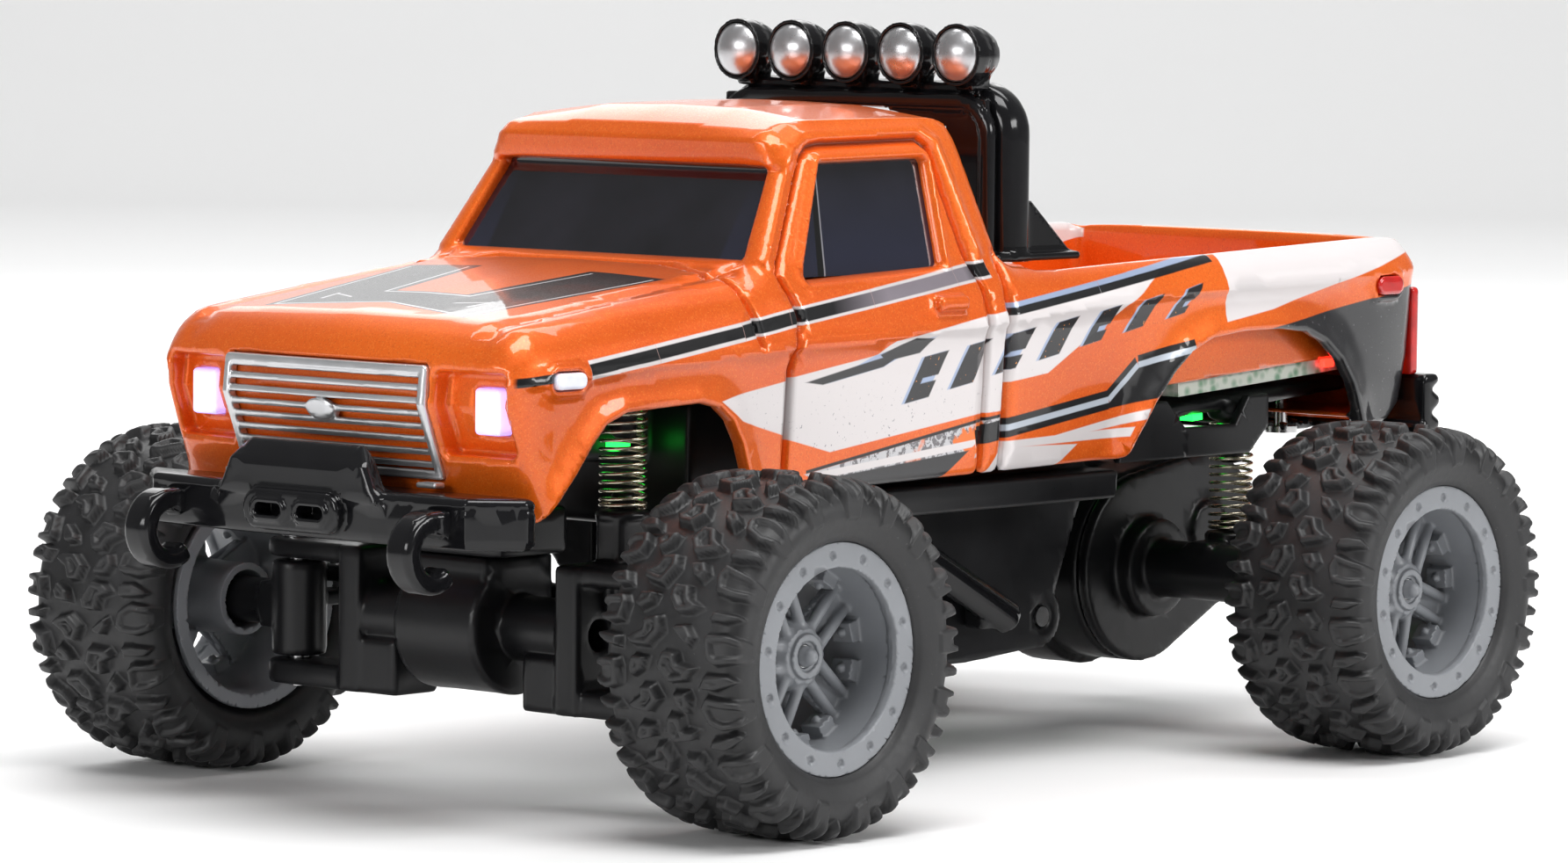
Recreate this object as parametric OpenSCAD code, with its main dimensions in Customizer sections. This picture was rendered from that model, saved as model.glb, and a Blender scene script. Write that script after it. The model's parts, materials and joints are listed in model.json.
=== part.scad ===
/* [Wheels] */
// Outer diameter over the tyre lugs
tyre_d = 32.6; // [30:0.2:34]
// Width of a tyre over its sidewalls
tyre_w = 16.4; // [14:0.2:17]
// Distance between the centre planes of the left and right tyres
track = 73.4; // [72:0.2:76]
// Distance between the front and rear wheel axes
wheelbase = 90; // [90:0.5:91]
// Number of tread bars on each shoulder of a tyre
tread_bars = 18; // [12:1:22]
// Number of spoke pairs in a rim
spoke_pairs = 5; // [4:1:6]

/* [Body] */
// Half width of the body at its widest crease
body_hw = 23.6; // [23:0.1:24]
// Wall thickness of the cast body
wall = 1.3; // [1.0:0.1:1.5]
// Centre-to-centre spacing of the roof lamps
lamp_pitch = 7.0; // [6.6:0.1:7.2]
// Outer radius of a roof lamp
lamp_r = 3.0; // [2.6:0.1:3.2]
// Number of horizontal bars in the grille
grille_bars = 7; // [5:1:8]

/* [Running gear] */
// Outer diameter of a suspension spring
spring_od = 4.5; // [4.2:0.1:4.8]
// Wire diameter of a suspension spring
spring_wire = 0.36; // [0.3:0.02:0.44]
// Turns in each front spring
front_turns = 14; // [8:1:16]
// Turns in each rear spring
rear_turns = 13; // [8:1:15]
// Teeth on the axle gear
axle_teeth = 30; // [30:1:30]

/* [Hidden] */
$fn = 64;

R = tyre_d/2;             // wheel axis height
yf = -wheelbase/2;        // front axle
yr = wheelbase/2;         // rear axle
xw = track/2;             // tyre centre plane
kx = 23.5;                // kingpin axis
fp = [-12, 13];           // front arm pivot, y and z
rp = [24, 12.9];          // rear arm pivot, y and z
fs = [15, -42];           // front spring axis, x and y
rs = [15, 48.5];          // rear spring axis, x and y
mod = 0.5;                // gear module
idler = [yr, R] + 10.55*[cos(17.75), sin(17.75)];
motor = idler + 8.55*[cos(-15), sin(-15)];

// ---- helpers ----
// extrude a (y, z) outline along X
module yz(w, x=0) translate([x,0,0]) rotate([90,0,90]) linear_extrude(w) children();
// extrude an (x, z) outline along +Y
module xz(w, y=0) translate([0,y+w,0]) rotate([90,0,0]) linear_extrude(w) children();
module xcyl(r, x0, x1, y=0, z=0) translate([x0,y,z]) rotate([0,90,0]) cylinder(r=r, h=x1-x0);
module ycyl(r, y0, y1, x=0, z=0) translate([x,y1,z]) rotate([90,0,0]) cylinder(r=r, h=y1-y0);
module box(a, b) translate(a) cube(b-a);
module both() { children(); mirror([1,0,0]) children(); }
module turn_x(profile, cx=0, y=0, z=0) translate([cx,y,z]) rotate([0,90,0]) rotate_extrude() polygon(profile);
// move a closed counter-clockwise outline inwards by t
function inset(p,t) = [for(i=[0:len(p)-1]) let(n=len(p), a=p[(i+n-1)%n], b=p[i], c=p[(i+1)%n],
  u=(b-a)/norm(b-a), v=(c-b)/norm(c-b), n1=[-u[1],u[0]], n2=[-v[1],v[0]]) b+(n1+n2)/(1+n1*n2)*t];
function mirrored(h) = concat(h, [for(i=[len(h)-1:-1:0]) if (h[i][0]!=0) [-h[i][0],h[i][1]]]);
// outline of two circles and their outer tangents
module link2(c1,r1,c2,r2) {
  d = norm(c2-c1); u = (c2-c1)/d; b = acos((r1-r2)/d);
  function rot(v,a) = [v[0]*cos(a)-v[1]*sin(a), v[0]*sin(a)+v[1]*cos(a)];
  translate(c1) circle(r1); translate(c2) circle(r2);
  q1 = r1-0.03; q2 = r2-0.03;
  polygon([c1+q1*rot(u,b), c1+q1*rot(u,-b), c2+q2*rot(u,-b), c2+q2*rot(u,b)]);
}
// spur gear outline with a tooth centred on angle 0
function iv(a) = tan(a)*180/PI - a;
module gear2d(z, pa=25, add=0.78, ded=1.12, slack=1.1) {
  rp_ = mod*z/2; rb = rp_*cos(pa); ra = rp_+add*mod; rf = rp_-ded*mod;
  r0 = max(rb,rf)+0.001; hp = 90/z-slack*36/rp_/PI/2*0.16;
  function half(r) = hp + iv(pa) - iv(acos(min(1,rb/r)));
  rr = [for(k=[0:4]) r0+(ra-r0)*k/4];
  pts = [for(t=[0:z-1]) let(c=t*360/z) each concat(
     [rf*[cos(c-180/z), sin(c-180/z)]],
     [rf*[cos(c-half(r0)-0.5), sin(c-half(r0)-0.5)]],
     [for(r=rr) r*[cos(c-half(r)), sin(c-half(r))]],
     [for(i=[4:-1:0]) rr[i]*[cos(c+half(rr[i])), sin(c+half(rr[i]))]],
     [rf*[cos(c+half(r0)+0.5), sin(c+half(r0)+0.5)]])];
  polygon(pts);
}
// a tube swept along points p, n sides
module tube(p, r, n=8) {
  m = len(p);
  function dir(i) = let(v = p[min(i+1,m-1)]-p[max(i-1,0)]) v/norm(v);
  function side(d) = let(s = cross(d, abs(d[2])>0.9?[1,0,0]:[0,0,1])) s/norm(s);
  pts = [for(i=[0:m-1]) let(d=dir(i), a=side(d), b=cross(a,d)) for(k=[0:n-1]) p[i]+r*(cos(360*k/n)*a+sin(360*k/n)*b)];
  polyhedron(pts, concat([[for(k=[0:n-1]) k]],
    [for(i=[0:m-2]) for(k=[0:n-1]) [i*n+k, (i+1)*n+k, (i+1)*n+(k+1)%n, i*n+(k+1)%n]],
    [[for(k=[n-1:-1:0]) (m-1)*n+k]]), convexity=10);
}
// compression spring from z0 to z1 with flat closed ends
module coil(x, y, z0, z1, turns) {
  rc = spring_od/2-spring_wire/2; seg = 10; n = turns*seg; w = spring_wire; rw=w/2;
  function zz(t) = let(h=z1-z0-w, e=1.2, a=turns) t<e ? t*w*1.06 : t>a-e ? h-(a-t)*w*1.06 : e*w*1.06+(t-e)/(a-2*e)*(h-2*e*w*1.06);
  tube([for(i=[0:n]) [x+rc*cos(i*360/seg), y+rc*sin(i*360/seg), z0+rw+zz(i/seg)]], rw*0.98, 5);
}

// ---- body shell ----
side = [[-61.6,26.9],[-62.4,30.6],[-63.4,31],[-66,38],[-65.2,41.6],[-64.4,43.6],[-61.6,45.3],[-34,48.5],[-29,49.2],[4,48.7],[4.6,47.8],[66,50],[69,47.3],[69.9,44.8],[69.7,37.6],[68.8,32.7],[66,30.6],[60.4,30.6],[60.4,29.2],[21,29.2],[-21,28.4],[-33.4,28.4],[-60.6,26.9]];
side_ccw = [for(i=[len(side)-1:-1:0]) side[i]];
// the same outline without its small steps, for the hollow
side_plain = [[69.7,10],[69.9,44.8],[66,50],[4,48],[-29,49.2],[-34,48.5],[-61.6,45.3],[-65.2,41.6],[-66,38],[-62.4,27],[-62.4,10]];
section = mirrored([[0,20],[22.7,20],[23,32],[23.2,38],[body_hw,43],[22.9,46.2],[22.2,48],[20.6,49.6],[18,50.4],[0,50.8]]);
plan = mirrored([[0,-67],[21.4,-66],[22.6,-64],[23.4,-58],[24,-50],[24,50],[23.4,60],[22.8,67],[21.6,71],[0,71]]);
cab_side = [[7,46],[-0.2,61],[-2.4,62.9],[-8,63.6],[-19.5,62.9],[-23.6,61.4],[-24.5,58.8],[-24,58],[-31.5,46]];
cab_section = mirrored([[0,44],[21.6,44],[20.9,48.6],[17.6,60.2],[16.6,61.8],[14.6,62.9],[0,63.6]]);
front_arch = [[-60.2,20],[-60.2,27.6],[-59.2,29.1],[-56.9,31.7],[-54.7,34.7],[-52.6,36.5],[-50.5,37.2],[-45.4,37.4],[-40.7,37.6],[-38.4,37.2],[-36.5,35.8],[-35,33.4],[-34,30.9],[-33.2,27],[-33.2,20]];
rear_arch = [[60.4,20],[60.4,30.2],[59.4,32.4],[58.1,34.9],[55.8,37.6],[52.8,39.7],[49.9,40.7],[45.5,41.1],[39.8,41.1],[34.1,40.5],[31.3,39.6],[28.6,37.6],[25.9,34.8],[23.2,31.2],[21.4,28.4],[21.4,20]];
module hull_of(inner=0) {
  intersection() {
    yz(60,-30) polygon(inner>0 ? inset(side_plain,inner) : side_ccw);
    xz(150,-75) polygon(inner>0 ? inset(section,inner) : section);
    translate([0,0,10]) linear_extrude(60) polygon(inner>0 ? inset(plan,inner) : plan);
  }
}
module cab_of(inner=0) intersection() {
  yz(60,-30) polygon(inner>0 ? inset(cab_side_ccw,inner) : cab_side_ccw);
  xz(60,-35) polygon(inner>0 ? inset(cab_section,inner) : cab_section);
}
cab_side_ccw = cab_side;
module window_cut() {
  xz(19,-36) polygon(mirrored([[0,50.2],[17.5,50.2],[15.9,57.6],[0,57.9]]));
  xz(9,-1) polygon(mirrored([[0,50.9],[13.5,50.9],[12,58.2],[0,58.4]]));
  yz(60,-30) polygon([[-22.4,48.9],[-5.4,49.3],[-9.2,58.9],[-20.4,58.3]]);
}
module body_shell() color([0.93,0.38,0.05]) difference() {
  union() {
    difference() {
      union() { hull_of(); cab_of(); }
      // engine bay and cabin hollow, open below
      intersection() {
        union() { hull_of(wall); translate([0,0,-6]) hull_of(wall); cab_of(wall); box([-21.3,-61,20],[21.3,66.8,40]); }
        box([-30,-63.2,0],[30,7,70]);
      }
      // load bed, open above
      box([-20.8,8.6,42.8],[20.8,67,60]);
      // hollow below the bed
      intersection() {
        box([-21.8,5,10],[21.8,68,41.4]);
        translate([0,0,-4]) hull_of(wall);
      }
      box([-21.3,-60,10],[21.3,66,30]);
    }
    // lamp pockets behind the front face
    both() box([12.9,-64,33.2],[21.8,-61.4,41.4]);
    // wheel tub walls under the bed
    both() box([20.1,26,37.6],[21.2,61,42]);
    // screw posts
    translate([0,-57,33.1]) cylinder(r=1.75, h=11.5);
    translate([9,64.6,35.6]) cylinder(r=1.9, h=6.4);
    translate([-9,64.6,35.6]) cylinder(r=1.9, h=6.4);
    // raised step at the front of the bed
    box([-9,8.5,42.6],[9,20,46.2]);
  }
  yz(60,-30) polygon(front_arch);
  yz(60,-30) polygon(rear_arch);
  window_cut();
  // head lamp recesses and light guide holes
  both() { box([13.4,-70,34.2],[21.4,-62.9,40.6]); box([15.6,-66,35.3],[19.6,-60,39.5]); }
  // side marker pockets
  both() { yz(3,22.5) link2([-59.2,40.3],0.8,[-57,40.3],0.8); yz(3,22.3) link2([62.6,44.8],1.25,[64.4,44.8],1.25); }
  // tail lamp pockets
  both() box([18.6,69,35.4],[21.8,75,44.4]);
  // panel gaps: door front, door rear, cab to bed
  both() { box([22.6,-28.6,20],[30,-27.9,47.6]); box([22.6,-1.5,20],[30,-0.8,47.2]); box([22.4,2.4,20],[30,3.2,47.4]); }
  // screw pilot holes
  translate([0,-57,30]) cylinder(r=0.75, h=8);
  for(s=[-1,1]) translate([9*s,64.6,33]) cylinder(r=0.75, h=7.4);
}
module window_insert() color([0.05,0.05,0.06]) difference() {
  cab_of(wall+0.12); cab_of(wall+1.2); box([-30,-40,40],[30,20,48.9]);
  // clear the wall lip over the dash and the bed bulkhead
  box([-30,-40,40],[30,-28.9,50]);
}
function grille_y(z) = z<38 ? -63.4-(z-31)*2.6/7 : -66+(z-38)*0.8/3.6;
module grille() color([0.78,0.78,0.8]) {
  z0=31.6; z1=41.2;
  for(k=[0:grille_bars-1]) let(z=z0+0.5+k*(z1-z0-1.2)/(grille_bars-1)) box([-12.2,grille_y(z+0.35)-0.75,z],[12.2,grille_y(z+0.35)-0.17,z+0.7]);
  both() yz(0.9,11.9) polygon([[grille_y(z0)-0.6,z0+0.15],[-66.75,38],[grille_y(z1)-0.7,z1],[grille_y(z1)-0.08,z1],[-66.08,38],[grille_y(z0)-0.05,z0+0.15]]);
  // plain oval badge
  translate([0,-66.1,37]) scale(1) rotate([90,0,0]) linear_extrude(1) link2([-0.8,0],1.05,[0.8,0],1.05);
}
module headlamp_lenses() color([0.95,0.95,1]) both() box([15.75,-63.5,35.45],[19.45,-59.4,39.35]);
module front_side_markers() color([0.9,0.88,0.92]) both() difference() {
  yz(1.5,22.62) link2([-59.2,40.3],0.72,[-57,40.3],0.72); box([24.0,-63,38],[26,-54,43]); }
module rear_side_markers() color([0.75,0.05,0.04]) both() yz(1.1,22.4) link2([62.6,44.8],1.15,[64.4,44.8],1.15);
module tail_lamp_lenses() color([0.75,0.05,0.04]) both() box([18.75,69.1,35.55],[21.65,70.3,44.25]);

// ---- bumpers and roll bar ----
bump_plan = mirrored([[0,-69],[8.2,-69],[9,-68.2],[19.5,-67.8],[23.9,-64.6],[23.9,-63],[22,-62.9],[0,-62.9]]);
module front_bumper() color([0.06,0.06,0.06]) difference() {
  union() {
    translate([0,0,25.6]) linear_extrude(4.7) polygon(bump_plan);
    intersection() {
      yz(22,-11) polygon([[-62.9+0,30],[-66.9,30],[-69,30],[-69,32.6],[-67.6,34.2],[-67.1,34.2],[-67.1,30.4],[-62.9,30.3]]);
      xz(12,-72) polygon(mirrored([[0,29],[10,29],[8.2,32.8],[7,34.4],[0,34.4]]));
    }
    // fairlead frame
    xz(0.7,-69.7) link2([-4,28],1.75,[4,28],1.75);
    // mounting legs to the chassis
    both() box([5.5,-64,27.4],[8.5,-59.9,30.2]);
    box([-8.5,-63.4,27.4],[8.5,-60.1,28.6]);
  }
  for(s=[-1,1]) xz(1.6,-70.2) link2([s*2.5-1.2,28],0.8,[s*2.5+1.2,28],0.8);
}
module tow_hooks() color([0.08,0.08,0.09]) both() {
  difference() {
    union() { xcyl(3.7,15.1,18.1,-69.3,25.4); box([15.1,-68.5,27.2],[18.1,-65.6,29.1]); }
    xcyl(2.1,15,18.2,-69.3,25.4);
    // mouth of the hook
    yz(4,14.6) polygon([[-68.8,25.6],[-64,26.9],[-64,22.4],[-67.4,23.2]]);
    box([14,-68.05,20],[19,-60,30]);
  }
}
module rear_bumper() color([0.07,0.07,0.07]) {
  yz(46.4,-23.2) polygon([[68.9,30.6],[68.9,29.4],[71.9,29.4],[73,30],[73,30.7],[71.7,31.5],[73,32.4],[73,33.1],[71.7,33.9],[73,34.8],[72.4,35.5],[70.2,35.5],[70.2,30.6]]);
  difference() {
    union() { both() box([6.5,65.4,29.2],[9.5,69.2,30.4]); box([-10.9,62.6,29.2],[10.9,66.4,30.4]); }
    for(s=[-1,1]) { translate([9*s,64.6,28]) cylinder(r=1.0, h=4); translate([9*s,64.6,28]) cylinder(r=1.95, h=1.75); }
  }
}
module roll_bar() color([0.06,0.06,0.06]) {
  // hoop: two side-by-side tubes with a web
  for(c=[[9.6,1.55],[12.1,1.4]]) difference() {
    union() {
      both() translate([17,c[0],48.6]) cylinder(r=c[1], h=12.4);
      both() translate([13.6,c[0],61]) rotate([90,0,0]) rotate_extrude(angle=90) translate([3.4,0]) circle(c[1]);
      translate([-13.6,c[0],64.4]) rotate([0,90,0]) cylinder(r=c[1], h=27.2);
    }
  }
  // front flange
  xz(1.2,6.9) difference() { polygon(mirrored([[0,48.9],[17.9,48.9],[17.9,61],[17,64],[14,65.4],[0,65.4]])); polygon(mirrored([[0,47],[15.6,47],[15.6,60.6],[15,62.2],[13.4,63],[0,63]])); }
  both() box([16.2,8,48.9],[17.6,9,62]);
  // rear gussets and feet
  both() yz(1.4,16.3) polygon([[13.2,54.2],[19.6,49],[12.6,49],[12.6,54.2]]);
  both() box([15.4,6.9,48.7],[18.6,19.6,49.4]);
}
module roof_lamp_housings() color([0.06,0.06,0.06]) for(k=[-2:2]) translate([k*lamp_pitch,0,68.4]) {
  translate([0,8.7,0]) rotate([90,0,0]) rotate_extrude() polygon([[0,-1.6],[1.4,-1.5],[2.3,-0.8],[lamp_r-0.2,0.8],[lamp_r,2.2],[lamp_r,3.2],[lamp_r-0.35,3.2],[lamp_r-0.4,2.4],[0,2.4]]);
  difference() { union() { box([-1.2,6.9,-2.97],[1.2,8.15,-1.6]); box([-1.2,6.9,-2.38],[1.2,9.8,-1.6]); } translate([0,8.7,0]) rotate([90,0,0]) cylinder(r=2.2,h=1,center=true); }
}
module roof_lamp_lenses() color([0.8,0.8,0.82]) for(k=[-2:2]) translate([k*lamp_pitch,6.2,68.4]) rotate([90,0,0])
  rotate_extrude() polygon([[0,0],[lamp_r-0.42,0],[lamp_r-0.42,0.8],[lamp_r-0.9,1.3],[1.2,1.7],[0,1.8]]);

// ---- chassis ----
module chassis_frame() color([0.09,0.09,0.09]) {
  // ribs that carry the battery above the switch and the socket
  for(y=[-13,0]) box([-13.9,y-1,26],[13.9,y+1,31.35]);
  frame_body();
}
module frame_body() difference() {
  union() {
    // battery tub and side rails
    box([-15,-33,25],[15,25,37]);
    both() box([14.5,-30,25],[19,25.5,27.9]);
    // front frame
    box([-9.5,-60,31.5],[9.5,-32.9,38.6]);
    both() box([5.3,-59.8,28.65],[8.6,-56.6,31.6]);
    // front spring towers
    both() box([9.4,-45.2,37.6],[18,-38.8,38.8]);
    both() translate([fs[0],fs[1],34]) cylinder(r=1.3, h=4);
    // rear frame plate and towers
    translate([0,25,31.2]) rotate([3.5,0,0]) box([-16,-0.5,0],[16,42.2,1.5]);
    both() translate([rs[0],rs[1],31.4]) cylinder(r=2.5, h=2.2);
    both() translate([rs[0],rs[1],27]) cylinder(r=1.3, h=5);
    box([-9.5,63,30.45],[9.5,66.4,34.2]);
  }
  box([-13.8,-31.8,26.2],[13.8,23.8,40]);
  box([-8.3,-58.8,32.7],[8.3,-34.2,40]);
  // cable slots
  box([-6,-34.5,33.5],[6,-31,40]);
  box([-6,23,34],[6,26,40]);
  // switch and socket windows
  box([-11.3,-25.4,24],[-6.7,-18.6,27]);
  box([6.3,-24.4,24],[11.7,-19.6,27]);
  // screw clearance holes
  translate([0,-57,30]) cylinder(r=1.15, h=4);
  for(s=[-1,1]) translate([9*s,64.6,28]) cylinder(r=1.15, h=9);
  // room above the plate for the tail of the board
}
plate2d = [[-17,25],[-17,13],[-13.5,9.9],[-8,9.4],[12,9],[24,9.8],[30.5,25]];
module link_mount() color([0.07,0.07,0.07]) difference() {
  union() {
    both() yz(2,8.7) { polygon(plate2d); translate(rp) circle(3.2); }
    box([-8.8,-12,9.0],[8.8,20,10.3]);
    box([-8.8,-4,10.2],[8.8,14,24.9]);
  }
  xcyl(1.02,-12,12,fp[0],fp[1]); xcyl(1.02,-12,12,rp[0],rp[1]);
  box([-6.8,-2,10.3],[6.8,12,25]);
}
module skid_braces() color([0.1,0.1,0.11]) both() {
  translate([13.4,-7.5,25.2]) rotate([-(90+27),0,0]) translate([0,0,3.95]) cylinder(r=1.7, h=21.9);
  // lug on the link mount and foot under the rail
  box([10.75,11.4,12.6],[13.6,15,15.4]);
  box([11.9,-5.4,22.4],[14.9,-2.6,24.95]);
}
module front_springs() color([0.82,0.78,0.68]) for(s=[-1,1]) coil(s*fs[0],fs[1],27.62,37.58,front_turns);
module rear_springs() color([0.82,0.78,0.68]) for(s=[-1,1]) coil(s*rs[0],rs[1],20.22,31.38,rear_turns);
module arm_pivot_pins() color([0.75,0.75,0.76]) { xcyl(1,-10.7,10.7,fp[0],fp[1]); xcyl(1,-10.7,10.7,rp[0],rp[1]); }
module battery() color([0.25,0.35,0.6]) { box([-9.5,-29,31.4],[9.5,3,37.2]); }
module board_at() translate([0,25,31.2]) rotate([3.5,0,0]) translate([0,0,2.9]) children();
module circuit_board() color([0.72,0.8,0.72]) board_at() difference() {
  box([-19.6,5.4,0],[19.6,37.5,1.4]);
  box([-20.5,4,-1],[-14.5,9,3]); box([14.5,4,-1],[20.5,9,3]); }
module board_components() color([0.1,0.1,0.1]) board_at() {
  box([-6,12,1.42],[2,20,2.5]); box([5,11,1.42],[10,15,2.3]); box([-13,24,1.42],[-7,30,3.4]);
  box([4,24,1.42],[12,29,2.6]); translate([13,19,1.42]) cylinder(r=2, h=2.5); box([-3,6.2,1.42],[3,9.6,3.4]); }
module battery_leads() color([0.7,0.08,0.06]) for(s=[-1,1]) tube([[1.2*s,3.1,33.6],[1.2*s,5,33.6],[1.3*s,8,33.9],[1.5*s,12,34.6],[1.7*s,16,35.6],[1.7*s,20,36.3],[1.6*s,24,36.6],[1.4*s,28,36.9],[1.3*s,30.4,37.2]],0.55,8);
module switch_housing() color([0.12,0.12,0.12]) difference() { box([-11.2,-25.3,26.3-0.06],[-6.8,-18.7,29.6]); box([-10.1,-24.2,26],[-7.9,-19.8,28.5]); }
module switch_slider() color([0.85,0.85,0.85]) { box([-9.7,-22.7,24.3],[-8.3,-21.3,27.4]); box([-10,-23,27.1],[-8,-21,28.3]); }
module charge_socket() color([0.2,0.2,0.22]) difference() { box([6.4,-24.3,25.1],[11.6,-19.7,31]); box([7.2,-23.5,24],[10.8,-20.5,29.8]); }
module underglow_leds() color([0.2,0.9,0.3]) both() { box([9.52,-38.4,32.4],[10.5,-36.2,33.4]); translate([0,25,31.2]) rotate([3.5,0,0]) { box([13,17.6,-0.72],[14.6,19.2,-0.02]); } }
module screw(h, r=1, hr=1.8, hh=0.9) difference() { union() { cylinder(r=r, h=h); translate([0,0,-hh]) cylinder(r=hr, h=hh); } for(a=[0,90]) rotate(a) translate([-1.1,-0.2,-hh-0.1]) cube([2.2,0.4,0.6]); }
module body_screws() color([0.55,0.55,0.56]) {
  translate([0,-57,31.48]) screw(6, 0.73, 1.5, 0.8);
  for(s=[-1,1]) translate([9*s,64.6,29.75]) screw(9.6, 0.73, 1.7, 0.65);
}

// ---- front suspension and steering ----
module front_arm() color([0.07,0.07,0.07]) difference() {
  union() {
    xcyl(2,-8.4,8.4,fp[0],fp[1]);
    both() yz(2.2,5.6) polygon([[-12,11],[-12,15],[-25,16.6],[-25,14.2]]);
    translate([0,0,14.2]) linear_extrude(2.4) polygon(mirrored([[0,-37.4],[2.1,-37.4],[7.8,-25.2],[7.8,-22.8],[4.6,-22.8],[0,-31]]));
    ycyl(2,-37.0,-30,0,R);
  }
  xcyl(1.06,-9,9,fp[0],fp[1]);
  ycyl(1.06,-40,-29,0,R);
  // room for the head of the roll pin
  ycyl(1.95,-29.98,-26,0,R);
}
module front_roll_pin() color([0.75,0.75,0.76]) { ycyl(1,-41.5,-29.6,0,R); ycyl(1.6,-29.6,-28.9,0,R); }
module chub() {
  box([12.4,yf-3.4,9],[15.2,yf+3.2,22.8]);
  box([15.1,yf-2.9,9],[22,yf+2.9,11.3]);
  translate([kx,yf,9]) cylinder(r=2.9, h=2.3); box([21.9,yf-2.9,9],[kx,yf+2.9,11.3]);
  box([15.1,yf-2.9,20.9],[kx,yf+2.9,22.8]); translate([kx,yf,20.9]) cylinder(r=2.9, h=1.9);
}
module front_axle_housing() color([0.07,0.07,0.07]) difference() {
  union() {
    xcyl(6.3,-5.2,5.2,yf,R);
    xcyl(3,-13,13,yf,R);
    ycyl(2.4,-50,-38.2,0,R);
    both() yz(4.6,8) polygon([[yf-3,R-2],[yf-3,9],[yf+3,9],[yf+3,R-2]]);
    both() chub();
    // spring perches
    both() box([13.4,-44.2,18],[16.6,-40,26.7]);
    both() translate([fs[0],fs[1],26.6]) cylinder(r=2.6, h=1);
    both() translate([fs[0],fs[1],27]) cylinder(r=1.15, h=2.2);
    box([-5,yf-4.6,R+3],[5,yf+4.4,22.9]);
  }
  ycyl(1.02,-41.6,-37,0,R);
  // room for the servo horn and the tie rod
  box([-5.6,-40.55,17.85],[5.6,-36,30]);
  both() translate([kx,yf,8]) cylinder(r=0.92, h=20);
  // hollow tubes
  xcyl(1.4,-16,16,yf,R);
}
module kingpins() color([0.72,0.72,0.73]) both() { translate([kx,yf,8.7]) cylinder(r=0.9, h=14.5); translate([kx,yf,22.85]) cylinder(r=1.7, h=0.8); }
module steering_servo() color([0.1,0.1,0.12]) { box([-7.4,-50.2,22.95],[7.4,-40.9,27.5]); ycyl(1.7,-41,-40.4,0,25); }
module knuckle() {
  difference() {
    union() {
      translate([kx,yf,11.6]) cylinder(r=2.6, h=9);
      xcyl(2.2,kx,34.4,yf,R);
      box([kx-1.2,yf+1,16],[kx+1.2,-36.9,17.6]);
      translate([kx,-38,17.5]) cylinder(r=0.8, h=2.7);
      box([25,yf-2.2,14.1],[27,yf+2.2,18.5]);
    }
    translate([kx,yf,8]) cylinder(r=0.97, h=20);
    xcyl(1.02,kx+1.3,36,yf,R);
  }
}
module left_knuckle() color([0.07,0.07,0.07]) knuckle();
module right_knuckle() color([0.07,0.07,0.07]) mirror([1,0,0]) knuckle();
module stub() { xcyl(1,kx+1.4,39.6,yf,R); }
module left_stub_axle() color([0.75,0.75,0.76]) stub();
module right_stub_axle() color([0.75,0.75,0.76]) mirror([1,0,0]) stub();
module tie_rod() color([0.12,0.12,0.13]) difference() {
  union() { box([-22,-38.8,18.1],[22,-37.2,19.7]); both() box([21.4,-40.3,18.1],[25.6,-36.2,19.7]); box([-1.9,-38.8,18.4],[1.9,-37.2,22.4]); }
  both() yz_slot();
  xz(3,-39.5) link2([0,19.95],0.76,[0,20.75],0.76);
}
module yz_slot() translate([0,0,17]) linear_extrude(4) link2([kx,-38.6],0.98,[kx,-37.8],0.98);
module servo_horn() color([0.85,0.85,0.83]) { xz(1,-40.3) link2([0,25],1.8,[0,20],1.1); ycyl(0.6,-39.4,-36.8,0,20); }

// ---- wheels ----
// outboard is +x, centred on the tyre's centre plane
module rim() difference() {
  union() {
    turn_x_profile([[-7.4,9.0],[-7.4,10.4],[-6.7,10.4],[-6.5,9.8],[5.7,9.8],[5.9,10.4],[6.8,10.4],[6.8,8.8],[5.8,8.6],[0,8.5],[-5,8.8]]);
    turn_x_profile([[-6.2,0.5],[-6.2,3.4],[1.2,3.4],[1.8,2.6],[3.5,2.6],[3.5,0.5]]);
    for(k=[0:spoke_pairs-1]) rotate([k*360/spoke_pairs,0,0]) {
      for(s=[-1,1]) translate([1.55,s*1.02-0.42,1.9]) cube([1.6,0.84,7]);
      rotate([180/spoke_pairs,0,0]) translate([0.2,-1,7]) cube([1.6,2,1.9]);
    }
  }
  xcyl(1.03,-8,8);
  xcyl(2.75,-7,-1.2);
}
module turn_x_profile(p) rotate([0,90,0]) rotate_extrude() polygon([for(q=p) [q[1],q[0]]], convexity=6);
tw = tyre_w/2;
module tyre() difference() {
  turn_tyre();
  for(s=[-1,1]) for(k=[0:tread_bars-1]) rotate([(k+(s>0?0.5:0))*360/tread_bars,0,0])
    translate([s>0?1.2:-tw-1,-0.75,R-1]) cube([tw-0.2,1.5,2]);
}
module turn_tyre() rotate([0,90,0]) rotate_extrude() polygon([
  [9.82,-6.45],[10.5,-6.45],[10.55,-6.9],[11.2,-7.7],[12.4,-tw],[13.6,-tw+0.1],[14.8,-tw+0.5],[15.7,-tw+1.2],[R,-tw+2.2],
  [R,-0.9],[R-0.9,-0.6],[R-0.9,0.6],[R,0.9],[R,tw-2.2],[15.7,tw-1.2],[14.8,tw-0.5],[13.6,tw-0.1],[12.4,tw],[11.2,7.3],[10.55,6.5],[10.5,5.6],[9.82,5.6],[9.82,4.2],[11.4,4],[13.3,5],[13.3,-5],[11.4,-4.4],[9.82,-4.8]]);
module wheel_at(side_, y) translate([side_*xw,y,R]) rotate([0,0,side_>0?0:180]) children();
module wheel_screw() difference() { union() { xcyl(1.5,3.52,4.4); xcyl(0.95,2.95,3.7); } for(a=[0,90]) rotate([a,0,0]) box([4,-1,-0.2],[4.5,1,0.2]); }
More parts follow.
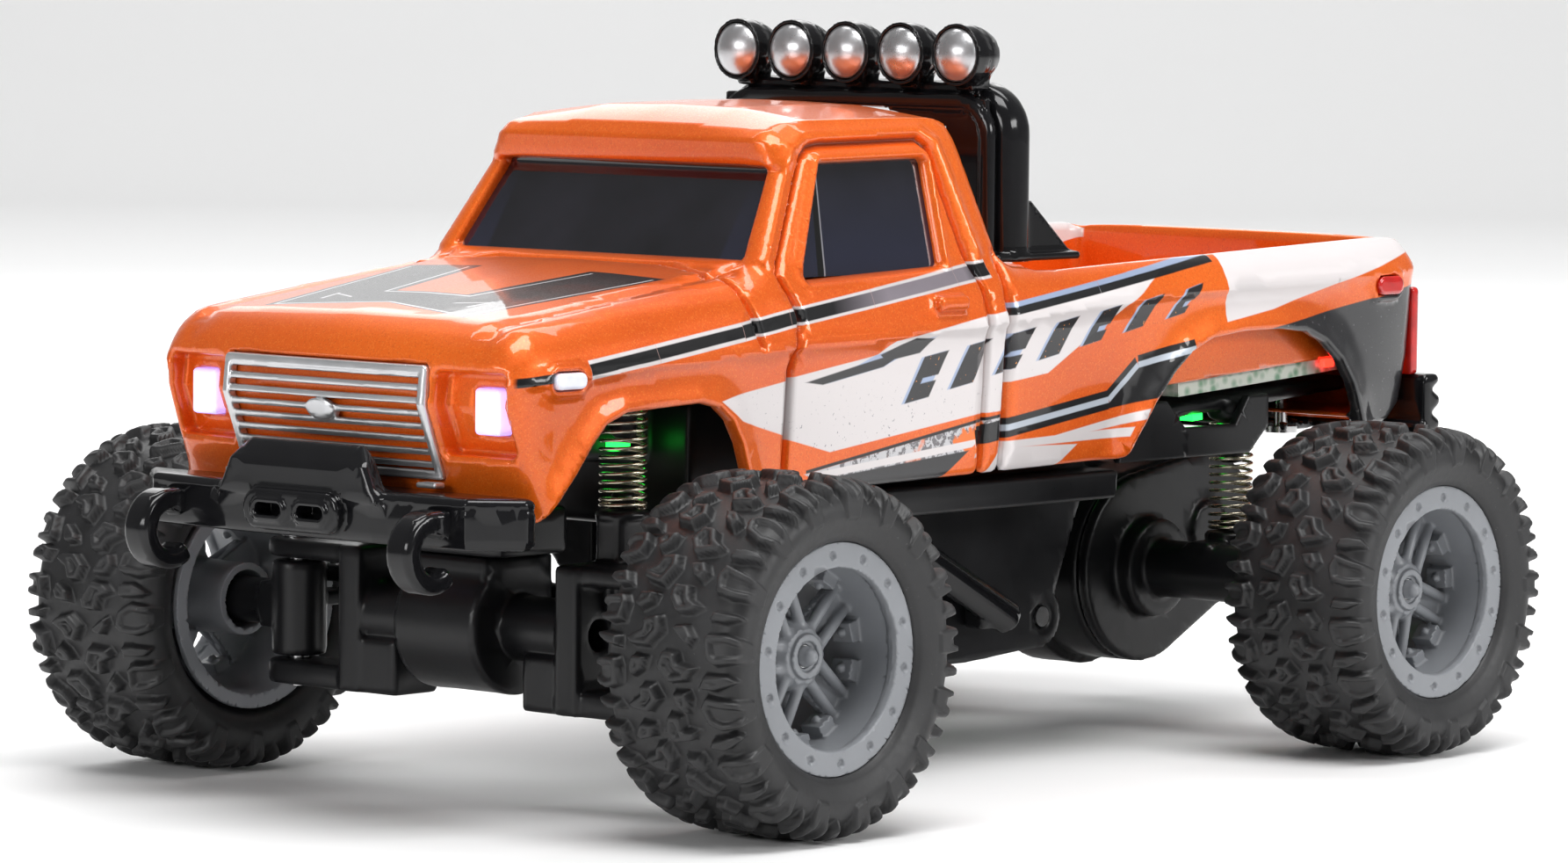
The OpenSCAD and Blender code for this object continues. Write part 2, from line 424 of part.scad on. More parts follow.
rim_c = [0.62,0.63,0.65]; tyre_c = [0.08,0.08,0.08];
module front_left_rim() color(rim_c) wheel_at(1,yf) rim();
module front_left_tyre() color(tyre_c) wheel_at(1,yf) tyre();
module front_left_wheel_screw() color("silver") wheel_at(1,yf) wheel_screw();
module front_right_rim() color(rim_c) wheel_at(-1,yf) rim();
module front_right_tyre() color(tyre_c) wheel_at(-1,yf) tyre();
module front_right_wheel_screw() color("silver") wheel_at(-1,yf) wheel_screw();
module rear_rims() color(rim_c) for(s=[-1,1]) wheel_at(s,yr) rim();
module rear_tyres() color(tyre_c) for(s=[-1,1]) wheel_at(s,yr) tyre();
module rear_wheel_screws() color("silver") for(s=[-1,1]) wheel_at(s,yr) wheel_screw();

// ---- rear suspension and drive ----
module rear_arm() color([0.07,0.07,0.07]) difference() {
  union() {
    xcyl(2.1,-8.4,8.4,rp[0],rp[1]);
    ycyl(2.2,26,33.9,0,R);
    box([-3,23,11.6],[3,30,R-0.4]);
    both() yz(1.6,1.8) polygon([[24,11],[31,14.4],[31,17.6],[24,14.9]]);
  }
  xcyl(1.06,-9,9,rp[0],rp[1]);
  ycyl(1.06,25,36,0,R);
  box([-1.4,24.5,13.8],[1.4,26,19]);
}
module rear_roll_pin() color([0.75,0.75,0.76]) { ycyl(1,27.2,36.4,0,R); }
module case2d(t=0) { link2([yr,R],9.6-t,idler,8-t); link2(idler,8-t,motor,5-t); }
module tube_half() difference() { xcyl(2.9,0,26.2,yr,R); xcyl(1.5,-1,27,yr,R); xcyl(2.02,24.2,27,yr,R); }
module perch() { box([13.4,yr-2,R+1.6],[16.6,51,19.4]); translate([rs[0],rs[1],19.2]) cylinder(r=2.6, h=1); translate([rs[0],rs[1],20]) cylinder(r=1.15, h=1.8); }
module rear_axle_housing() color([0.07,0.07,0.07]) difference() {
  union() {
    yz(7.4,-1.8) case2d();
    xcyl(10.4,-6,-0.2,yr,R);
    xcyl(2.9,-26.2,-1,yr,R); xcyl(3.4,-6,-1,yr,R);
    mirror([1,0,0]) perch();
    ycyl(2.4,34.2,37.4,0,R);
    // motor cradle
    xcyl(6.8,-15,-1.2,motor[0],motor[1]);
  }
  yz(7,-0.6) case2d(1);
  xcyl(1.5,-27,0,yr,R); xcyl(2.02,-27,-24.2,yr,R);
  xcyl(6.15,-19,-2.05,motor[0],motor[1]);
  xcyl(1.3,-3,1,motor[0],motor[1]);
  xcyl(0.88,-1.5,1,idler[0],idler[1]);
  ycyl(1.02,33,37,0,R);
  // weight relief in the big end
  difference() { xcyl(9.2,-7,-2.4,yr,R); xcyl(3.4,-8,-1,yr,R); }
}
module gear_case_cover() color([0.07,0.07,0.07]) difference() {
  union() { yz(1.4,5.65) case2d(); xcyl(5,7,9,yr,R); xcyl(2.9,5.7,26.2,yr,R); perch(); xcyl(3,6.9,7.7,idler[0],idler[1]); }
  xcyl(1.5,5,27,yr,R); xcyl(2.02,24.2,27,yr,R);
  xcyl(0.88,5,6.6,idler[0],idler[1]);
}
module rear_bushings() color([0.8,0.65,0.3]) both() difference() { union() { xcyl(2,24.25,26.3,yr,R); xcyl(2.6,26.25,26.9,yr,R);} xcyl(1.05,24,28,yr,R); }
module rear_axle_shaft() color([0.75,0.75,0.76]) xcyl(1,-39.6,39.6,yr,R);
module axle_gear() color([0.9,0.9,0.88]) yz(2,0.2) difference() { translate([yr,R]) rotate(17.75) gear2d(30); translate([yr,R]) circle(1.02); }
module idler_gear() color([0.9,0.9,0.88]) {
  yz(2.6,0) translate(idler) rotate(17.75+180+15) gear2d(12);
  yz(2.1,2.6) translate(idler) rotate(-15) gear2d(24);
  xcyl(0.8,-1.3,0.1,idler[0],idler[1]); xcyl(0.8,4.6,6.5,idler[0],idler[1]); }
module motor_pinion() color([0.85,0.7,0.35]) { yz(2.6,2.5) translate(motor) rotate(-15+180+18) gear2d(10); xcyl(0.5,-1.85,2.6,motor[0],motor[1]); xcyl(1.1,0.3,2.5,motor[0],motor[1]); }
module drive_motor() color([0.7,0.7,0.72]) { difference() { xcyl(6,-17.5,-2.15,motor[0],motor[1]); for(s=[-1,1]) translate([-20,motor[0]-8,motor[1]+(s>0?5:-7)]) cube([20,16,2]); } xcyl(2.6,-18.6,-17.4,motor[0],motor[1]); }

body_shell();
window_insert();
grille();
headlamp_lenses();
front_side_markers();
rear_side_markers();
tail_lamp_lenses();
front_bumper();
tow_hooks();
rear_bumper();
roll_bar();
roof_lamp_housings();
roof_lamp_lenses();
chassis_frame();
link_mount();
skid_braces();
front_springs();
rear_springs();
arm_pivot_pins();
battery();
circuit_board();
board_components();
battery_leads();
switch_housing();
charge_socket();
underglow_leds();
body_screws();
switch_slider();
front_arm();
front_axle_housing();
steering_servo();
kingpins();
front_roll_pin();
left_knuckle();
right_knuckle();
left_stub_axle();
right_stub_axle();
tie_rod();
servo_horn();
front_left_rim();
front_left_tyre();
front_left_wheel_screw();
front_right_rim();
front_right_tyre();
front_right_wheel_screw();
rear_arm();
rear_axle_housing();
gear_case_cover();
drive_motor();
rear_bushings();
rear_roll_pin();
rear_axle_shaft();
axle_gear();
rear_rims();
rear_tyres();
rear_wheel_screws();
idler_gear();
motor_pinion();
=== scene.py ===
import json
import math
import bpy
import bmesh
import numpy as np
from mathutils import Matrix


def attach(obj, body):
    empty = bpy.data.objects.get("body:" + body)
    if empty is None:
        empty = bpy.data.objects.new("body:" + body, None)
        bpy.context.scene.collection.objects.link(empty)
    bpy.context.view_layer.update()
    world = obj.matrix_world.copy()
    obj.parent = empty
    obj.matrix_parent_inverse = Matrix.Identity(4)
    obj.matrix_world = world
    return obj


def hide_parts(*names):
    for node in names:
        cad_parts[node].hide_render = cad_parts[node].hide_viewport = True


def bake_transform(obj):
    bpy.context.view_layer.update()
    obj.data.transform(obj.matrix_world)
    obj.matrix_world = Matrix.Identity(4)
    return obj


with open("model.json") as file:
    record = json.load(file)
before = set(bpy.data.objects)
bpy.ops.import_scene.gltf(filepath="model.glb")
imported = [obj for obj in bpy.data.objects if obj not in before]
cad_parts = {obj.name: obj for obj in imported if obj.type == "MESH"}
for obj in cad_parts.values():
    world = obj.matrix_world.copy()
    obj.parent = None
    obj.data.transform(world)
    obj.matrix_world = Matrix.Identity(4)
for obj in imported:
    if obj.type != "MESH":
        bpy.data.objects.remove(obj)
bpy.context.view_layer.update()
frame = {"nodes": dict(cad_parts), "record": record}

import openvdb as vdb
from mathutils import Matrix, Vector

F = np.float32
MM = 0.001
R_WHEEL, X_WHEEL, Y_F, Y_R = 16.3, 36.7, -45.0, 45.0
KING_X = 23.5

# ------------------------------------------------------------------ signed distance toolkit (millimetres)

def A(v):
    return np.asarray(v, F)


def smax(a, b, k):
    h = np.maximum(k - np.abs(a - b), 0) / k
    return np.maximum(a, b) + h * h * (k * 0.25)


def smin(a, b, k):
    h = np.maximum(k - np.abs(a - b), 0) / k
    return np.minimum(a, b) - h * h * (k * 0.25)


def poly(u, v, pts):
    """Signed distance to a closed polygon, negative inside."""
    pts = [(float(a), float(b)) for a, b in pts]
    d2 = None
    inside = None
    n = len(pts)
    for i in range(n):
        ax, ay = pts[i]
        bx, by = pts[(i + 1) % n]
        ex, ey = bx - ax, by - ay
        ll = ex * ex + ey * ey
        if ll < 1e-12:
            continue
        wx, wy = u - ax, v - ay
        t = np.clip((wx * ex + wy * ey) / ll, 0, 1)
        q = (wx - ex * t) ** 2 + (wy - ey * t) ** 2
        d2 = q if d2 is None else np.minimum(d2, q)
        c = ((ay > v) != (by > v)) & (u < (bx - ax) * (v - ay) / ((by - ay) if by != ay else 1e-9) + ax)
        inside = c if inside is None else inside ^ c
    d = np.sqrt(d2)
    return np.where(inside, -d, d)


def line(u, v, pts):
    """Distance to an open polyline."""
    d2 = None
    for (ax, ay), (bx, by) in zip(pts[:-1], pts[1:]):
        ex, ey = bx - ax, by - ay
        ll = ex * ex + ey * ey
        t = np.clip(((u - ax) * ex + (v - ay) * ey) / ll, 0, 1)
        q = (u - ax - ex * t) ** 2 + (v - ay - ey * t) ** 2
        d2 = q if d2 is None else np.minimum(d2, q)
    return np.sqrt(d2)


def sbox(x, y, z, lo, hi, r=0.0):
    cx, cy, cz = [(a + b) / 2 for a, b in zip(lo, hi)]
    hx, hy, hz = [(b - a) / 2 - r for a, b in zip(lo, hi)]
    qx, qy, qz = np.abs(x - cx) - hx, np.abs(y - cy) - hy, np.abs(z - cz) - hz
    out = np.sqrt(np.maximum(qx, 0) ** 2 + np.maximum(qy, 0) ** 2 + np.maximum(qz, 0) ** 2)
    return out + np.minimum(np.maximum(qx, np.maximum(qy, qz)), 0) - r


def box2(u, v, lo, hi, r=0.0):
    qx = np.abs(u - (lo[0] + hi[0]) / 2) - (hi[0] - lo[0]) / 2 + r
    qy = np.abs(v - (lo[1] + hi[1]) / 2) - (hi[1] - lo[1]) / 2 + r
    return np.sqrt(np.maximum(qx, 0) ** 2 + np.maximum(qy, 0) ** 2) + np.minimum(np.maximum(qx, qy), 0) - r


def capsule(x, y, z, a, b, r):
    ex, ey, ez = b[0] - a[0], b[1] - a[1], b[2] - a[2]
    ll = ex * ex + ey * ey + ez * ez
    t = np.clip(((x - a[0]) * ex + (y - a[1]) * ey + (z - a[2]) * ez) / ll, 0, 1)
    return np.sqrt((x - a[0] - ex * t) ** 2 + (y - a[1] - ey * t) ** 2 + (z - a[2] - ez * t) ** 2) - r


def slab(v, lo, hi):
    return np.abs(v - (lo + hi) / 2) - (hi - lo) / 2


def interp(v, pts):
    pts = sorted(pts)
    return np.interp(v, [p[0] for p in pts], [p[1] for p in pts]).astype(F)


def mesh_from(name, f, lo, hi, h, adapt=0.0, step=64, smooth_normals=True, project=2):
    """Meshes the zero surface of f over a box, in millimetres, and returns an object in metres."""
    dims = [int(math.ceil((b - a) / h)) + 1 for a, b in zip(lo, hi)]
    g = vdb.FloatGrid(3.0 * h)
    y = A(lo[1] + h * np.arange(dims[1]))[None, :, None]
    z = A(lo[2] + h * np.arange(dims[2]))[None, None, :]
    for i0 in range(0, dims[0], step):
        i1 = min(i0 + step, dims[0])
        x = A(lo[0] + h * np.arange(i0, i1))[:, None, None]
        d = np.broadcast_to(f(x, y, z), (i1 - i0, dims[1], dims[2]))
        d = np.ascontiguousarray(np.clip(d, -3 * h, 3 * h), dtype=F)
        g.copyFromArray(d, ijk=(i0, 0, 0), tolerance=0)
    g.transform = vdb.createLinearTransform(voxelSize=h)
    p, tris, quads = g.convertToPolygons(isovalue=0, adaptivity=adapt)
    p = p.astype(F) + A(lo)

    def val(q):
        return f(q[:, 0], q[:, 1], q[:, 2])

    e = F(0.02)
    offs = [A(o) for o in ((e, 0, 0), (0, e, 0), (0, 0, e))]
    normal = None
    for it in range(project + 1):
        grad = np.stack([val(p + o) - val(p - o) for o in offs], 1) / (2 * e)
        gl = np.linalg.norm(grad, axis=1, keepdims=True)
        normal = grad / np.maximum(gl, 1e-6)
        if it < project:
            stepv = (val(p)[:, None] / np.maximum(gl, 0.4)) * normal
            p = p - np.clip(stepv, -0.5 * h, 0.5 * h)
    faces = [tuple(int(k) for k in t[::-1]) for t in tris] + [tuple(int(k) for k in q[::-1]) for q in quads]
    return finish_mesh(name, p, faces, normal if smooth_normals else None)


def finish_mesh(name, p, faces, normals=None, smooth=True):
    me = bpy.data.meshes.new(name)
    me.from_pydata([tuple(map(float, q)) for q in (np.asarray(p, float) * MM)], [], faces)
    me.validate()
    # outward faces
    me.update()
    if faces:
        n = len(me.polygons)
        area = np.zeros(n); me.polygons.foreach_get("area", area)
        nor = np.zeros(n * 3); me.polygons.foreach_get("normal", nor)
        cen = np.zeros(n * 3); me.polygons.foreach_get("center", cen)
        vol = (area * (nor.reshape(-1, 3) * cen.reshape(-1, 3)).sum(1)).sum()
        if vol < 0:
            me.flip_normals()
    if smooth:
        me.polygons.foreach_set("use_smooth", np.ones(len(me.polygons), bool))
    if normals is not None and len(normals) == len(me.vertices):
        me.normals_split_custom_set_from_vertices([tuple(map(float, q)) for q in normals])
    ob = bpy.data.objects.new(name, me)
    bpy.context.scene.collection.objects.link(ob)
    return ob

# ------------------------------------------------------------------ materials

class Nodes:
    """A small writer of shader node expressions."""

    def __init__(self, name):
        self.mat = bpy.data.materials.new(name)
        self.mat.use_nodes = True
        self.t = self.mat.node_tree
        self.bsdf = next(n for n in self.t.nodes if n.type == "BSDF_PRINCIPLED")
        self.geo = None

    def new(self, kind, **kw):
        n = self.t.nodes.new(kind)
        for k, v in kw.items():
            setattr(n, k, v)
        return n

    def put(self, sock, v):
        if isinstance(v, (int, float)):
            sock.default_value = v
        elif isinstance(v, (tuple, list)):
            sock.default_value = v
        else:
            self.t.links.new(v, sock)

    def m(self, op, a, b=None, c=None, clamp=False):
        n = self.new("ShaderNodeMath", operation=op, use_clamp=clamp)
        self.put(n.inputs[0], a)
        if b is not None:
            self.put(n.inputs[1], b)
        if c is not None:
            self.put(n.inputs[2], c)
        return n.outputs[0]

    def xyz(self):
        """Object coordinates in millimetres: x, y, z."""
        if self.geo is None:
            tc = self.new("ShaderNodeTexCoord")
            s = self.new("ShaderNodeSeparateXYZ")
            self.t.links.new(tc.outputs["Object"], s.inputs[0])
            self.vec = tc.outputs["Object"]
            self.geo = [self.m("MULTIPLY", s.outputs[i], 1000.0) for i in range(3)]
        return self.geo

    def noise(self, scale, detail=2.0, rough=0.5, distort=0.0):
        self.xyz()
        n = self.new("ShaderNodeTexNoise")
        self.t.links.new(self.vec, n.inputs["Vector"])
        n.inputs["Scale"].default_value = scale
        n.inputs["Detail"].default_value = detail
        n.inputs["Roughness"].default_value = rough
        n.inputs["Distortion"].default_value = distort
        return n.outputs[0]

    def voronoi(self, scale, feature="F1", out="Distance"):
        self.xyz()
        n = self.new("ShaderNodeTexVoronoi", feature=feature)
        self.t.links.new(self.vec, n.inputs["Vector"])
        n.inputs["Scale"].default_value = scale
        return n.outputs[out]

    def ramp(self, v, a, b, lo=0.0, hi=1.0):
        n = self.new("ShaderNodeMapRange")
        n.clamp = True
        self.put(n.inputs["Value"], v)
        n.inputs["From Min"].default_value = a
        n.inputs["From Max"].default_value = b
        n.inputs["To Min"].default_value = lo
        n.inputs["To Max"].default_value = hi
        return n.outputs[0]

    def mix(self, f, a, b):
        n = self.new("ShaderNodeMix", data_type="RGBA")
        self.put(n.inputs[0], f)
        for s, v in ((n.inputs[6], a), (n.inputs[7], b)):
            if isinstance(v, (tuple, list)):
                s.default_value = (*v[:3], 1.0)
            else:
                self.t.links.new(v, s)
        return n.outputs[2]

    def bump(self, height, strength, dist_mm):
        n = self.new("ShaderNodeBump")
        n.inputs["Strength"].default_value = strength
        n.inputs["Distance"].default_value = dist_mm * MM
        self.t.links.new(height, n.inputs["Height"])
        return n.outputs[0]

    def inside(self, u, v, pts, soft=0.05):
        """1 inside a convex outline given in any order of turning."""
        n = len(pts)
        area = sum(pts[i][0] * pts[(i + 1) % n][1] - pts[(i + 1) % n][0] * pts[i][1] for i in range(n))
        if area < 0:
            pts = pts[::-1]
        d = None
        for i in range(n):
            (ax, ay), (bx, by) = pts[i], pts[(i + 1) % n]
            ex, ey = bx - ax, by - ay
            l = math.hypot(ex, ey)
            # signed distance to the left of the edge: nx*u + ny*v + c
            nx, ny = -ey / l, ex / l
            c = -(nx * ax + ny * ay)
            w = self.m("MULTIPLY_ADD", u, nx, c)
            w = self.m("MULTIPLY_ADD", v, ny, w)
            d = w if d is None else self.m("MINIMUM", d, w)
        return self.m("MULTIPLY_ADD", d, 1.0 / (2 * soft), 0.5, clamp=True)

    def set(self, **kw):
        names = {"color": "Base Color", "rough": "Roughness", "metal": "Metallic", "coat": "Coat Weight",
                 "coat_rough": "Coat Roughness", "spec": "Specular IOR Level", "ior": "IOR", "normal": "Normal",
                 "coat_normal": "Coat Normal", "emit": "Emission Color", "emit_s": "Emission Strength",
                 "trans": "Transmission Weight", "alpha": "Alpha", "sheen": "Sheen Weight", "sss": "Subsurface Weight"}
        for k, v in kw.items():
            s = self.bsdf.inputs[names[k]]
            if isinstance(v, tuple):
                s.default_value = (*v[:3], 1.0)
            elif isinstance(v, (int, float)):
                s.default_value = v
            else:
                self.t.links.new(v, s)
        return self.mat


def plastic(name, color, rough=0.35, var=0.25, grain=900.0, bump=0.15, spec=0.5, coat=0.0, metal=0.0, scuff=0.0):
    n = Nodes(name)
    big = n.noise(90.0, 4.0, 0.6)
    fine = n.noise(grain, 3.0, 0.6)
    lo = tuple(c * (1 - var) for c in color)
    hi = tuple(min(1, c * (1 + var)) for c in color)
    col = n.mix(n.ramp(big, 0.3, 0.7), lo, hi)
    if scuff:
        speck = n.ramp(n.noise(2600.0, 2.0, 0.5), 0.72, 0.80)
        col = n.mix(n.m("MULTIPLY", speck, scuff), col, tuple(min(1, c * 2 + 0.12) for c in color))
    r = n.ramp(n.m("ADD", n.m("MULTIPLY", big, 0.6), n.m("MULTIPLY", fine, 0.4)), 0.3, 0.7, max(0.04, rough * 0.8), min(1, rough * 1.25))
    nb = n.bump(fine, bump, 0.05)
    return n.set(color=col, rough=r, normal=nb, spec=spec, coat=coat, metal=metal, coat_rough=0.1)


MAT = {}
MAT["gloss_black"] = plastic("gloss_black", (0.006, 0.006, 0.007), 0.14, 0.3, 700, 0.06, 0.35, coat=0.15)
MAT["satin_black"] = plastic("satin_black", (0.007, 0.007, 0.008), 0.33, 0.35, 1200, 0.12, 0.35)
MAT["matte_black"] = plastic("matte_black", (0.016, 0.016, 0.017), 0.5, 0.35, 1500, 0.2, 0.4)
MAT["tyre"] = plastic("tyre_rubber", (0.017, 0.017, 0.018), 0.48, 0.45, 1800, 0.3, 0.5, scuff=0.35)
MAT["rim"] = plastic("rim_plastic", (0.235, 0.245, 0.262), 0.34, 0.1, 1500, 0.10, 0.5, metal=0.0)
MAT["silver"] = plastic("silver_paint", (0.66, 0.665, 0.68), 0.33, 0.08, 2600, 0.25, 0.5, metal=0.85)
MAT["reflector"] = plastic("lamp_silver", (0.62, 0.62, 0.635), 0.30, 0.10, 1500, 0.3, 0.5, metal=0.9)
MAT["steel"] = plastic("bright_steel", (0.62, 0.62, 0.62), 0.22, 0.1, 1200, 0.1, 0.5, metal=1.0)
MAT["spring"] = plastic("spring_wire", (0.66, 0.60, 0.47), 0.24, 0.12, 1500, 0.1, 0.5, metal=1.0)
MAT["brass"] = plastic("brass", (0.75, 0.52, 0.20), 0.25, 0.12, 1000, 0.1, 0.5, metal=1.0)
MAT["nylon"] = plastic("white_nylon", (0.72, 0.72, 0.69), 0.4, 0.06, 1200, 0.1)
MAT["wrap"] = plastic("cell_wrap", (0.03, 0.10, 0.33), 0.25, 0.15, 900, 0.08)
MAT["red_wire"] = plastic("red_wire", (0.42, 0.01, 0.01), 0.35, 0.15, 1200, 0.08)
MAT["can"] = plastic("motor_can", (0.5, 0.5, 0.51), 0.28, 0.1, 800, 0.12, metal=1.0)


def glow(name, color, base, strength, rough=0.2, centre=None, radius=1.0, ring=None):
    n = Nodes(name)
    v = n.noise(700.0, 2.0, 0.5)
    col = n.mix(n.ramp(v, 0.3, 0.7), tuple(c * 0.85 for c in base), base)
    n.set(color=col, rough=rough, coat=0.5, emit=color, emit_s=strength)
    return n.mat


n = Nodes("white_led")
lx, ly, lz = n.xyz()
lr = n.m("MAXIMUM", n.m("ABSOLUTE", n.m("SUBTRACT", n.m("ABSOLUTE", lx), 17.9)), n.m("ABSOLUTE", n.m("SUBTRACT", lz, 37.7)))
lcol = n.mix(n.ramp(lr, 0.7, 1.9), (1.0, 1.0, 1.0), (0.34, 0.32, 0.95))
lbase = n.mix(n.ramp(n.noise(700.0, 2.0, 0.5), 0.3, 0.7), (0.75, 0.76, 0.9), (0.9, 0.92, 1.0))
MAT["white_led"] = n.set(color=lbase, rough=0.15, coat=0.5, emit=lcol, emit_s=1.0)
MAT["green_led"] = glow("green_led", (0.01, 1.0, 0.06), (0.1, 0.8, 0.2), 4.5)
MAT["red_led"] = glow("red_led", (1.0, 0.02, 0.01), (0.7, 0.05, 0.05), 6.0)
n = Nodes("clear_lens")
col = n.mix(n.ramp(n.noise(500.0, 2.0), 0.3, 0.7), (0.70, 0.72, 0.84), (0.86, 0.87, 0.93))
# painted glow: a faint bluish emission stands in for light on the clear marker lens
MAT["clear_lens"] = n.set(color=col, rough=0.12, coat=0.8, spec=0.6, emit=(0.6, 0.62, 0.9), emit_s=0.10)
n = Nodes("red_lens")
col = n.mix(n.ramp(n.noise(500.0, 2.0), 0.3, 0.7), (0.42, 0.005, 0.004), (0.66, 0.012, 0.008))
MAT["red_lens"] = n.set(color=col, rough=0.12, coat=0.9, spec=0.6)
n = Nodes("smoked_glass")
col = n.mix(n.ramp(n.noise(120.0, 3.0), 0.3, 0.7), (0.004, 0.004, 0.006), (0.012, 0.012, 0.018))
rr = n.ramp(n.noise(60.0, 4.0, 0.7), 0.35, 0.75, 0.05, 0.16)
# the upright between the vent pane and the main pane, with a pale painted highlight strip along its edge, and a
# painted reflection that makes the lower half of the side glass lighter and bluer
gx, gy, gz = n.xyz()
gside = n.ramp(n.m("ABSOLUTE", gx), 14.5, 15.0)
# painted reflection: the side glass turns lighter and bluer towards the bottom
col = n.mix(n.m("MULTIPLY", gside, n.ramp(gz, 58.0, 50.0, 0.0, 0.8)), col, (0.014, 0.016, 0.034))
col = n.mix(n.m("MULTIPLY", gside, n.inside(gy, gz, [(-21.6, 47.6), (-20.7, 47.6), (-19.0, 59.2), (-19.7, 59.2)], 0.05)), col, (0.002, 0.002, 0.002))
# painted highlight: a pale strip along the edge of the dark upright
col = n.mix(n.m("MULTIPLY", gside, n.inside(gy, gz, [(-20.7, 47.6), (-20.5, 47.6), (-18.85, 59.2), (-19.0, 59.2)], 0.05)), col, (0.22, 0.22, 0.24))
MAT["smoked"] = n.set(color=col, rough=rr, coat=0.6, coat_rough=0.06, spec=0.6)
n = Nodes("circuit_board")
col = n.mix(n.ramp(n.voronoi(900.0), 0.2, 0.6), (0.16, 0.33, 0.20), (0.60, 0.66, 0.58))
MAT["board"] = n.set(color=col, rough=0.35, coat=0.3)

# ------------------------------------------------------------------ body shell

FRONT_ARCH = [(-60.4, 15), (-60.4, 27.6), (-59.2, 29.3), (-56.9, 31.9), (-54.9, 34.5), (-53.2, 36.2), (-50.5, 37.2),
              (-45.4, 37.4), (-40.7, 37.6), (-38.4, 37.1), (-36.6, 35.8), (-35.1, 33.6), (-34, 30.9), (-33.2, 27), (-33, 15)]
REAR_ARCH = [(60.6, 15), (60.2, 30.6), (59.2, 32.6), (57.7, 35.2), (55.6, 37.6), (52.8, 39.5), (49.9, 40.6), (45.5, 41.1),
             (39.8, 41.1), (34.5, 40.6), (31.3, 39.4), (28.6, 37.4), (26.0, 34.7), (23.4, 31.2), (21.4, 28.0), (20.8, 15)]
CREASE = [(-64, 40.2), (-52.4, 41.0), (-28.1, 42.2), (-1.3, 43.2), (22.9, 45.0), (58.6, 46.1), (70, 46.4)]
TOP = [(-66, 43.4), (-64.8, 44.0), (-63.2, 44.75), (-61.6, 45.2), (-34, 48.8), (-29, 49.3), (4, 48.5), (12, 48.2), (66, 50), (72, 50.2)]
BOTTOM = [(-64, 26.8), (-58, 27.2), (-34, 28.3), (-21, 28.6), (21, 29.3), (24, 29.6), (60, 30.4), (67, 30.7), (70, 32.2), (72, 34)]
DOOR = [(-28.3, 27), (-28.1, 40.2), (-26.6, 44.6), (-27.6, 47.3), (-27.9, 48.6), (-21.4, 59.2), (-20.2, 60.1), (-18.6, 60.35),
        (-4.4, 60.55), (-3.3, 59.8), (-0.3, 48.2), (0.2, 44.4), (0.3, 39.5), (0.1, 27)]
BEDGAP = [(3.3, 27), (3.4, 42.1), (3.2, 45.6), (3.9, 49.6)]
COWL_X = [(-33.6, 55), (-33.9, 49), (-33.5, 46.8), (-32.6, 43.4), (-32.4, 42.2)]
BOARD_TOP = [(20, 35.3), (30, 35.9), (62, 37.9)]
SIDE_WIN = [(-24.1, 48.4), (-4.9, 49.1), (-4.6, 58.4), (-19.0, 58.2)]
CAB_SIDE = [(6.6, 44), (2.1, 60.6), (1.5, 62.3), (-1.2, 64.3), (-8, 64.9), (-19.5, 64.4), (-24.6, 62.0), (-25.5, 60.8), (-25.3, 58.4), (-24.6, 58.0), (-33.5, 44)]
CAB_SECT = [(-21.8, 44), (21.8, 44), (21.0, 48.8), (17.9, 60.4), (16.8, 62.6), (8, 64.0), (0, 64.4), (-8, 64.0), (-16.8, 62.6), (-17.9, 60.4), (-21.0, 48.8)]


def half_width(y, z, c):
    """Half width of the lower body: rocker, crease and shoulder."""
    t = z - c
    w = np.interp(t, [-16, -12, -6, -2.2, -0.9, -0.2, 0.5, 1.1, 3.2, 4.8, 6.0, 8], [21.9, 22.4, 22.75, 22.95, 23.15, 23.6, 23.5, 23.2, 22.75, 22.2, 21.4, 19.6]).astype(F)
    w = w - np.maximum(-58 - y, 0) ** 2 * 0.028 - np.maximum(y - 60, 0) ** 2 * 0.012
    return w


def lower_outer(x, y, z):
    ax = np.abs(x)
    c = interp(y, CREASE)
    fa = poly(y, z, FRONT_ARCH)
    ra = poly(y, z, REAR_ARCH)
    w = half_width(y, z, c)
    w = w + 0.75 * np.exp(-(np.maximum(fa, 0) / 1.9) ** 2) + 0.85 * np.exp(-(np.maximum(ra, 0) / 2.0) ** 2)
    w = np.minimum(w, 23.95)
    side = ax - w
    # hood crown: high in the middle, a shallow ridge near the edge, then the fender
    hood = np.interp(ax, [0, 10, 16.8, 18.0, 19.5, 21.0, 23, 26], [0.55, 0.35, 0.05, -0.50, -0.05, -0.25, -1.5, -3.4]).astype(F)
    flat = np.interp(ax, [0, 21, 22.4, 23.6, 26], [0.0, 0.0, -0.3, -1.0, -2.4]).astype(F)
    k = np.clip((y + 31) / 4, 0, 1)
    top = z - (interp(y, TOP) + hood * (1 - k) + flat * k)
    front = np.interp(z, [22, 27, 30.6, 31.5, 38, 41.6, 43.2, 46], [-61.3, -61.7, -62.9, -63.3, -65.9, -65.5, -64.9, -63.2]).astype(F)
    front = front + (ax / 22) ** 2 * 1.3
    rear = np.interp(z, [28, 30.6, 32.7, 37.6, 44.8, 47.3, 50], [64.6, 67.2, 69.8, 70.9, 71.2, 70.5, 68.6]).astype(F) - (ax / 23) ** 4 * 0.9
    d = smax(side, top, 2.6)
    d = smax(d, front - y, 2.2)
    d = smax(d, y - rear, 2.2)
    d = smax(d, interp(y, BOTTOM) - z, 0.8)
    return d, fa, ra


def cab_outer(x, y, z):
    a = poly(y, z, CAB_SIDE)
    b = poly(x, z, CAB_SECT)
    d = smax(a, b, 2.4)
    return d


